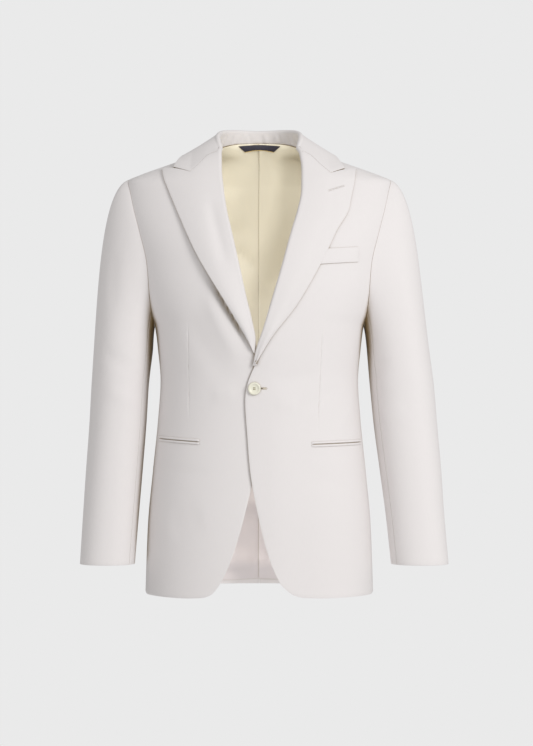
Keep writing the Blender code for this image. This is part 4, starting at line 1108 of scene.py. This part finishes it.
def collar_half(side):
    """Rows across the collar from the gorge to the centre back: outer and inner points."""
    columns = {name: collar_curve(name) for name in Station._fields[1:]}
    angles = collar_angles(side)
    _, _, normal, up = (part[:len(angles)][::-1] for part in roll_line(side))
    height = columns["roll_height"](angles)
    far, near = fold(body_point(angles, height), normal, up, FOLD_RADIUS)
    seam = columns["seam_height"](angles) + SEAM_GAP
    rise = steps(COLLAR_STAND_STEPS)[:-1]
    stand = blend(seam[:, None], height[:, None], rise)
    height_share = np.sin(math.pi * np.clip(rise / PUCKER_TOP, 0.0, 1.0))
    pucker = PUCKER_DEPTH * height_share * puckers(angles, side)[:, None]
    stand_far = body_point(angles[:, None], stand, pucker - LAPEL_CLOTH)
    end = gorge_line(side, COLLAR_END_RISE)
    share = fine(GORGE_STEPS + NOTCH_STEPS)
    end_points = over_body(end, face_lift(share, GORGE_LIFT))
    edge = body_point(*[columns[name](angles) for name in ("edge_angle", "edge_height", "edge_lift")])
    bend = (np.maximum(1 - (angles - angles[0]) / END_REACH, 0.0) ** 2)[:, None, None]
    share = share[1:, None]
    leaf = (blend(far[:, -1:], edge[:, None], share)
            + normal[:, None] * (LEAF_CROWN * np.sin(math.pi * share) * (1 - bend))
            + (end_points[1:] - blend(far[:1, -1:], edge[:1, None], share)) * bend)
    outer = np.concatenate([stand_far, far, leaf], axis=1)
    back = edge_backs(leaf[0], Spot(end.across[1:], end.height[1:]))
    near = np.concatenate([body_point(angles[:, None], stand), near], axis=1)
    return outer, turned_inner(outer, near, back, -1)


def puckers(angles, side):
    """Uneven upright ripples, from -1 to 1, where the stand is eased onto the neck seam."""
    angles = 360 - angles if side == "right" else angles
    return sum(share * np.sin(angles * rate + start) for rate, share, start in PUCKER_WAVES)


def collar_piece():
    halves = [[mirrored(grid, side) for grid in collar_half(side)] for side in SIDES]
    outer, inner = (np.concatenate([left, right[-2::-1]]) for left, right in zip(*halves))
    grain = run_lengths(outer, 0)[:, COLLAR_STAND_STEPS:COLLAR_STAND_STEPS + 1], run_lengths(outer, 1)
    return cloth("collar", None, outer, inner, grain)


# ---- Pockets -------------------------------------------------------------------------------------

def strip(node, side, top, bottom, thickness, counts, crown):
    """A strip of cloth on a front, between two lines. crown is how much of its thickness its edges
    lose to their rounding."""
    columns, rows = counts
    along, down = steps(columns), steps(rows)[:, None]
    spots = Spot(*[blend(blend(*high, along), blend(*low, along), down)
                   for high, low in zip(zip(*top), zip(*bottom))])
    ends = np.minimum(along, 1 - along) * columns / STRIP_END_STEPS
    rounding = (1 - (2 * down - 1) ** STRIP_ROUND_POWER) * ease(np.minimum(ends, 1.0))
    lift = front_lift(side)(*on_body(spots)) + SEAM_GAP
    outer = over_body(spots, lift + thickness * (1 - crown * (1 - rounding)))
    return cloth(node, side, outer, over_body(spots, lift), (spots.height, spots.across),
                 round_off=STRIP_ROUND)


def hip_pocket(side):
    """The two jets of a hip pocket, above its slit and below it."""
    made = []
    slit = POCKET_SLIT / 2
    for part, rises in (("upper", (JET_HEIGHT, slit)), ("lower", (-slit, -JET_HEIGHT))):
        top, bottom = ([(across, height + rise) for across, height in POCKET_ENDS[side]] for rise in rises)
        made.append(strip(f"jet_{part}_{side}", side, top, bottom, JET_CLOTH, JET_GRID, JET_CROWN))
    return made


# ---- Lining and label ----------------------------------------------------------------------------

def lining_piece(side):
    """Half the back lining. The right half passes under the left one in a pleat down the centre."""
    inner, outer = back_edges(top_rise=LINING_TOP_RISE, hem_rise=LINING_HEM_RISE)
    inner = np.where(inner[0] == 180, inner[0] + PLEAT_REACH[side], inner[0]), inner[1]
    outer = outer[0] + LINING_SIDE_GAPS * gap_angle(outer[1]), outer[1]
    pleat = steps(PLEAT_COLUMNS) * LINING_PLEAT_SHARE
    rest = fine(BACK_COLUMNS)
    shares = np.concatenate([pleat, rest[rest > pleat[-1] + PLEAT_LEAST_STEP]])
    angle, height = ruled(inner, outer, shares)
    over = PLEAT_DEPTH * ease((angle - PLEAT_START) / PLEAT_RAMP) if side == "left" else 0.0
    wave = LINING_HEM_WAVE * np.cos(angle * LINING_HEM_TURN + LINING_HEM_START[side])
    height = height + wave * ease(1 - (height - height[-1:]) / LINING_HEM_FADE)
    base = body_form(angle, height)
    from_hem = height - height[-1:]
    blouse = LINING_BLOUSE * np.exp(-((from_hem - LINING_BLOUSE_RISE) / LINING_BLOUSE_WIDTH) ** 2)
    towards = relief(base, LINING_FOLDS[side], on_back) + blouse + over
    lift = back_lift(side)(angle, height) - BODY_CLOTH - LINING_CLEARANCE - towards
    points, backs = (body_point(angle, height, lift - depth) for depth in (LINING, 0.0))
    return cloth(f"lining_{side}", side, points, backs, body_grain(angle, height), None,
                 f"satin_lining_{side}", SATIN, STRIP_ROUND)


def label_pieces(linings):
    """The bare label, which lies on the pleat and hangs level past it, with gold along its lower edge."""
    share, across = steps(LABEL_ROWS)[:, None], blend(-1.0, 1.0, steps(LABEL_COLUMNS))
    height = blend(*LABEL_MIDDLE_HEIGHTS, share) - LABEL_END_DROP * across * across
    starts = np.stack([blend(*LABEL_HALF_WIDTHS, share) * across, np.zeros_like(height), height], axis=-1)
    points, normal = met(surface_tree(*linings), starts, TO_BACK)
    flip = np.ones_like(starts)
    flip[..., 0] = np.where(starts[..., 0] < 0, -1.0, 1.0)
    level, facing = (grid * flip for grid in met(surface_tree(linings[0]), starts * flip, TO_BACK))
    past = level[..., 1:2] < points[..., 1:2]
    points, normal = np.where(past, level, points), np.where(past, facing, normal)
    outer = points + normal * (LABEL_CLEARANCE + LABEL_CLOTH)
    inner = points + normal * LABEL_CLEARANCE
    label = cloth("neck_label", None, outer, inner, (starts[..., 0], height), None, "woven_label", LABEL,
                  LABEL_ROUND)
    low, above, out = (grid[-1] for grid in (outer, np.roll(outer, 1, axis=0), normal))
    count = round(2 * LABEL_HALF_WIDTHS[1] / GOLD_PITCH)
    places = steps(count) * LABEL_COLUMNS
    sample = [np.stack([np.interp(places, np.arange(LABEL_COLUMNS + 1), grid[:, k]) for k in range(3)], -1)
              for grid in (low, above, out)]
    down = unit(sample[0] - sample[1])
    runs = list(zip(sample[0] - down * GOLD_WIDTH, sample[0] + down * THREAD_RADIUS, sample[2]))
    return label, threads("label_gold_edge", runs, GOLD_PITCH / 2, GOLD_YARN)


# ---- Small work ----------------------------------------------------------------------------------

def threads(name, runs, radius, material):
    """One piece of many short threads. Each run is its start, its end, and the way out of the cloth."""
    start, end, outward = (np.array(part, float)[:, None] for part in zip(*runs))
    share = steps(THREAD_RINGS - 1)[None, :, None]
    way = unit(end - start)
    across = unit(np.cross(outward, way))
    arch = np.sin(math.pi * share)
    middle = blend(start, end, share) + outward * (blend(-THREAD_DIP, radius, arch))
    girth = radius * (THREAD_TIP + (1 - THREAD_TIP) * np.sqrt(np.maximum(arch, 0.0)))
    turn = 2 * math.pi * np.arange(THREAD_SIDES) / THREAD_SIDES
    spokes = (across[:, :, None] * np.cos(turn)[:, None] + outward[:, :, None] * np.sin(turn)[:, None])
    points = middle[:, :, None] + spokes * girth[..., None]
    index = np.arange(THREAD_RINGS * THREAD_SIDES).reshape(THREAD_RINGS, THREAD_SIDES)
    beside = np.roll(index, -1, axis=1)
    quads = np.stack([index[:-1], beside[:-1], beside[1:], index[1:]], -1).reshape(-1, 4).tolist()
    one = quads + [index[0, ::-1].tolist(), index[-1].tolist()]
    faces = [[corner + k * index.size for corner in face] for k in range(len(runs)) for face in one]
    mesh = bpy.data.meshes.new(name)
    mesh.from_pydata(points.reshape(-1, 3).tolist(), [], faces)
    mesh.materials.append(material)
    return finished(name, mesh, [], round_off=0.0)


def surface_tree(*things):
    """What a ray meets, of several pieces."""
    points, faces = [], []
    for thing in things:
        faces += [[corner + len(points) for corner in face.vertices] for face in thing.data.polygons]
        points += [vert.co for vert in thing.data.vertices]
    return BVHTree.FromPolygons(points, faces)


def met(tree, starts, way):
    """Where rays from each start first meet a tree, and the direction of its face there, towards them."""
    found = [tree.ray_cast(Vector(start), Vector(way))[:2] for start in starts.reshape(-1, 3)]
    points = np.array([hit[0] for hit in found], float).reshape(starts.shape)
    normals = np.array([hit[1] for hit in found], float).reshape(starts.shape)
    return points, normals * -np.sign(normals @ np.array(way))[..., None]


def from_front(tree, spots):
    """Where spots on the front, as seen from there, lie on the cloth."""
    starts = np.stack([spots.across, np.full(spots.across.shape, CLEAR_FRONT), spots.height], axis=-1)
    return met(tree, starts, TO_BACK)


def bisected(work, faces, place, square):
    """Cut some faces of a mesh along a plane, and return what is there now in their place."""
    parts = {part for face in faces for part in (*face.verts, *face.edges)}
    made = bmesh.ops.bisect_plane(work, geom=list(faces) + list(parts), dist=CUT_DISTANCE,
                                  plane_co=place, plane_no=square)
    return {part for part in made["geom"] if isinstance(part, bmesh.types.BMFace)}


def press_dart(mesh, side):
    """Cut a dart's line into the outer face of a front and press it in, fading out at both ends."""
    way = -1 if side == "right" else 1
    top, bottom = (Vector((across * way, 0.0, height)) for across, height in DARTS[side])
    run = bottom - top
    square = run.cross(Vector((0.0, 1.0, 0.0))).normalized()

    def measured(place):
        """How far down the dart a place is, as a share, and how far beside it."""
        offset = place - top
        return offset.dot(run) / run.length_squared, abs(offset.dot(square))

    def near(face):
        share, beside = measured(face.calc_center_median())
        return face.normal.y < FACES_FRONT and beside < DART_REACH and -DART_PAST < share < 1 + DART_PAST

    with edited(mesh) as work:
        faces = {face for face in work.faces if near(face)}
        for offset in (-DART_WIDTH, 0.0, DART_WIDTH):
            faces = bisected(work, faces, top + square * offset, square)
        for vert in {vert for face in faces for vert in face.verts}:
            share, beside = measured(vert.co)
            if beside < DART_WIDTH / 4:
                vert.co.y += DART_DEPTH * float(ease(share / DART_END) * ease((1 - share) / DART_END))


def open_buttonhole(mesh):
    """Cut the slot that the button's thread passes through, and close its walls."""
    middle = Vector((BUTTONHOLE_MIDDLE, 0.0, BUTTON_PLACE.height))
    half = Vector((BUTTONHOLE_LENGTH / 2, 0.0, BUTTON_SLOT_HEIGHT / 2))

    def meets(face):
        spans = [[vert.co[axis] - middle[axis] for vert in face.verts] for axis in (0, 2)]
        return face.calc_center_median().y < 0 and all(
            min(span) < half[axis] and max(span) > -half[axis] for span, axis in zip(spans, (0, 2)))

    with edited(mesh) as work:
        for axis in (0, 2):
            for way in (-1, 1):
                square = Vector((float(axis == 0), 0.0, float(axis == 2)))
                faces = {face for face in work.faces if meets(face)}
                bisected(work, faces, middle + square * (way * half[axis]), square)
        inside = [face for face in work.faces if meets(face) and all(
            abs(face.calc_center_median()[axis] - middle[axis]) < half[axis] for axis in (0, 2))]
        bmesh.ops.delete(work, geom=inside, context="FACES")
        bmesh.ops.bridge_loops(work, edges=[edge for edge in work.edges if edge.is_boundary])


def purl(tree, middle, along, half_length, gap):
    """Stitches round a buttonhole: rows along both its edges, and a fan round its end."""
    up = (-along[1], along[0])
    count = round(2 * half_length / PURL_PITCH)
    reach = gap / 2 + PURL_LENGTH
    near, far = [], []
    for way in (-1, 1):
        for k in range(count + 1):
            step = -half_length + 2 * half_length * k / count
            near.append((step, way * gap / 2))
            far.append((step, way * reach))
    for k in range(1, PURL_FAN):
        turn = math.pi * (k / PURL_FAN - 0.5)
        for line, radius in ((near, gap / 2), (far, reach)):
            line.append((half_length + radius * math.cos(turn), radius * math.sin(turn)))
    (starts, outward), (ends, _) = (
        from_front(tree, Spot(*[centre + a * x + b * y for centre, x, y in zip(middle, along, up)]))
        for a, b in (np.array(line).T for line in (near, far)))
    return list(zip(starts, ends, outward))


def standing(spot, lift):
    """The move that puts a body's own Z square to the left front, at a spot on it."""
    angle, height = on_body(spot)
    facing = Vector(body_normal(angle, height))
    place = Vector(body_point(angle, height, OVERLAP_LIFT + lift))
    return Matrix.Translation(place) @ facing.to_track_quat("Z", "Y").to_matrix().to_4x4()


def turned(profile, segments):
    """A mesh turned round Z, from a profile of radius and height."""
    mesh = bpy.data.meshes.new("turned")
    with edited(mesh) as work:
        verts = [work.verts.new((radius, 0.0, height)) for radius, height in profile]
        for a, b in zip(verts, verts[1:]):
            work.edges.new((a, b))
        bmesh.ops.spin(work, geom=work.verts[:] + work.edges[:], cent=(0, 0, 0), axis=(0, 0, 1),
                       angle=2 * math.pi, steps=segments, use_merge=True)
        bmesh.ops.remove_doubles(work, verts=work.verts[:], dist=MERGE_DISTANCE)
        bmesh.ops.recalc_face_normals(work, faces=work.faces[:])
    return mesh


def in_order(mesh):
    """The same mesh with its points and faces sorted, since a boolean leaves them in any order."""
    points = [tuple(vert.co) for vert in mesh.vertices]
    order = sorted(range(len(points)), key=points.__getitem__)
    rank = {old: new for new, old in enumerate(order)}
    faces = []
    for face in mesh.polygons:
        corners = [rank[corner] for corner in face.vertices]
        first = corners.index(min(corners))
        faces.append(corners[first:] + corners[:first])
    made = bpy.data.meshes.new(mesh.name)
    made.from_pydata([points[k] for k in order], [], sorted(faces))
    return made


def pierced(mesh, holes, radius, depth):
    """The mesh with round holes through it, down its own Z."""
    tool = bpy.data.meshes.new("cutter")
    with edited(tool) as work:
        for x, y in holes:
            bmesh.ops.create_cone(work, segments=HOLE_SEGMENTS, radius1=radius, radius2=radius, depth=depth,
                                  cap_ends=True, matrix=Matrix.Translation((x, y, 0.0)))
    body, cutter = placed("body", mesh), placed("cutter", tool)
    hole = body.modifiers.new("hole", "BOOLEAN")
    hole.operation = "DIFFERENCE"
    hole.object = cutter
    made = bpy.data.meshes.new_from_object(body.evaluated_get(bpy.context.evaluated_depsgraph_get()))
    for thing in (body, cutter):
        bpy.data.objects.remove(thing, do_unlink=True)
    return in_order(made)


def button_pieces():
    """The button with its shank, and the yarn through its four holes."""
    dish = smooth_curve([(x * BUTTON_RADIUS, y * BUTTON_HEIGHT) for x, y in BUTTON_FACE])
    profile = [(x, float(dish(x))) for x in BUTTON_FACE[-1][0] * BUTTON_RADIUS * steps(BUTTON_FACE_STEPS)]
    profile += [(x * BUTTON_RADIUS, y * BUTTON_HEIGHT) for x, y in BUTTON_BACK]
    offsets = (-BUTTON_HOLE_OFFSET, BUTTON_HOLE_OFFSET)
    mesh = pierced(turned(profile, BUTTON_SEGMENTS), [(x, y) for x in offsets for y in offsets],
                   BUTTON_HOLE_RADIUS, 4 * BUTTON_HEIGHT)
    to_place = standing(BUTTON_PLACE, BUTTON_STAND_OFF)
    mesh.transform(to_place)
    mesh.materials.append(BUTTON)
    mesh.name = "button"
    button = finished("four_hole_button", mesh, ["front_button"], BUTTON_ROUND)
    button.data.set_sharp_from_angle(angle=BUTTON_SHARP_ANGLE)
    out = np.array(to_place.to_3x3() @ Vector((0, 0, 1)))
    height = YARN_HEIGHT * BUTTON_HEIGHT
    runs = [(*[np.array(to_place @ Vector((x, y + strand, height))) for x in offsets], out)
            for y in offsets for strand in YARN_STRANDS]
    threads("button_yarn", runs, YARN_RADIUS, BUTTON_YARN)
    end = -(BUTTON_STAND_OFF + OVERLAP_LIFT - SEAM_GAP)
    shank = turned([(SHANK_RADIUS, 0.0), (SHANK_RADIUS, end), (0.0, end)], SHANK_SEGMENTS)
    shank.transform(to_place)
    shank.materials.append(BUTTON_YARN)
    finished("button_shank", shank, [], round_off=0.0)


# ---- The jacket ----------------------------------------------------------------------------------

fronts = {side: front_piece(side) for side in SIDES}
for side in SIDES:
    press_dart(fronts[side].data, side)
open_buttonhole(fronts["left"].data)
side_bodies = {side: side_piece(side) for side in SIDES}
backs = {side: back_piece(side) for side in SIDES}
sleeves = {side: sleeve(side) for side in SIDES}
lapels = {side: lapel_piece(side) for side in SIDES}
collar = collar_piece()
jets = {side: hip_pocket(side) for side in SIDES}
welt = strip("chest_welt", "left", WELT_TOP, WELT_BOTTOM, WELT_CLOTH, WELT_GRID, WELT_CROWN)
linings = {side: lining_piece(side) for side in SIDES}
label, gold = label_pieces(list(linings.values()))
button_pieces()
stitches = purl(surface_tree(fronts["left"]), Spot(BUTTONHOLE_MIDDLE, BUTTON_PLACE.height), (1.0, 0.0),
                BUTTONHOLE_LENGTH / 2, BUTTON_SLOT_HEIGHT)
threads("front_buttonhole_stitches", stitches, THREAD_RADIUS, HOLE_YARN)
start, end = (Vector(spot) for spot in LAPEL_HOLE)
stitches = purl(surface_tree(lapels["left"]), (start + end) / 2, (end - start).normalized(),
                (end - start).length / 2, LAPEL_SLIT)
threads("lapel_buttonhole_stitches", stitches, THREAD_RADIUS, WOOL)

# ---- Camera, light and floor ---------------------------------------------------------------------

CAMERA_DISTANCE = 4.0
VIEW_HEIGHT = 1.24333       # of the picture, at the jacket
SENSOR = 24.0
AIM = (0.012, -0.368)       # across and up
BACKGROUND = 0.823
FILL = 0.47
# Name, place, aim, size and power
LIGHTS = [("key", (2.45, -2.72, 0.93), (0.0, 0.0, -0.4), 1.6, 70.0),
          ("front_fill", (-1.60, -3.00, 1.0), (0.0, 0.0, -0.4), 2.5, 19.0)]
# The lights that reach only the lining, down the neck and in at the hem
HOLLOW_LIGHTS = [("hollow_key", (0.85, -3.4, 0.45), (0.0, 0.1, -0.35), 0.55, 34.0, True),
                 ("hollow_fill", (-0.8, -2.6, 1.5), (0.0, 0.1, -0.5), 0.9, 55.0, False)]
FLOOR_HEIGHT = -1.45
FLOOR_RADIUS = 2.5
FLOOR_SEGMENTS = 96

camera = placed("camera", bpy.data.cameras.new("camera"))
camera.data.sensor_fit = "VERTICAL"
camera.data.sensor_height = SENSOR
camera.data.lens = SENSOR * CAMERA_DISTANCE / VIEW_HEIGHT
camera.location = (AIM[0], -CAMERA_DISTANCE, AIM[1])
camera.rotation_euler = (math.radians(90), 0.0, 0.0)
bpy.context.scene.camera = camera


def lamp(name, place, aim, size, power):
    """A soft round light."""
    made = placed(name, bpy.data.lights.new(name, "AREA"))
    made.data.shape = "DISK"
    made.data.size = size
    made.data.energy = power
    made.location = place
    made.rotation_euler = (Vector(aim) - Vector(place)).to_track_quat("-Z", "Y").to_euler()
    return made


for light in LIGHTS:
    lamp(*light)
hollow = bpy.data.collections.new("hollow")
for thing in (*linings.values(), *backs.values(), label, gold):
    hollow.objects.link(thing)
for name, place, aim, size, power, shadow in HOLLOW_LIGHTS:
    light = lamp(name, place, aim, size, power)
    light.data.use_shadow = shadow
    light.light_linking.receiver_collection = hollow

world = bpy.data.worlds.new("studio")
world.use_nodes = True
sky = world.node_tree
lit = feed(sky, sky.nodes["Background"], {"Color": (FILL, FILL, FILL, 1.0)})
shown = add_node(sky, "Background", {"Color": (BACKGROUND, BACKGROUND, BACKGROUND, 1.0)})
ray = add_node(sky, "LightPath", {})
chosen = add_node(sky, "MixShader", {0: ray.outputs["Is Camera Ray"], 1: lit.outputs[0],
                                     2: shown.outputs[0]})
feed(sky, sky.nodes["World Output"], {"Surface": chosen.outputs[0]})
bpy.context.scene.world = world
bpy.context.scene.view_settings.view_transform = "Standard"

floor = placed("floor", bpy.data.meshes.new("floor"))
with edited(floor.data) as work:
    bmesh.ops.create_circle(work, cap_ends=True, segments=FLOOR_SEGMENTS, radius=FLOOR_RADIUS,
                            matrix=Matrix.Translation((0.0, 0.0, FLOOR_HEIGHT)))
floor.data.materials.append(plain("floor").material)
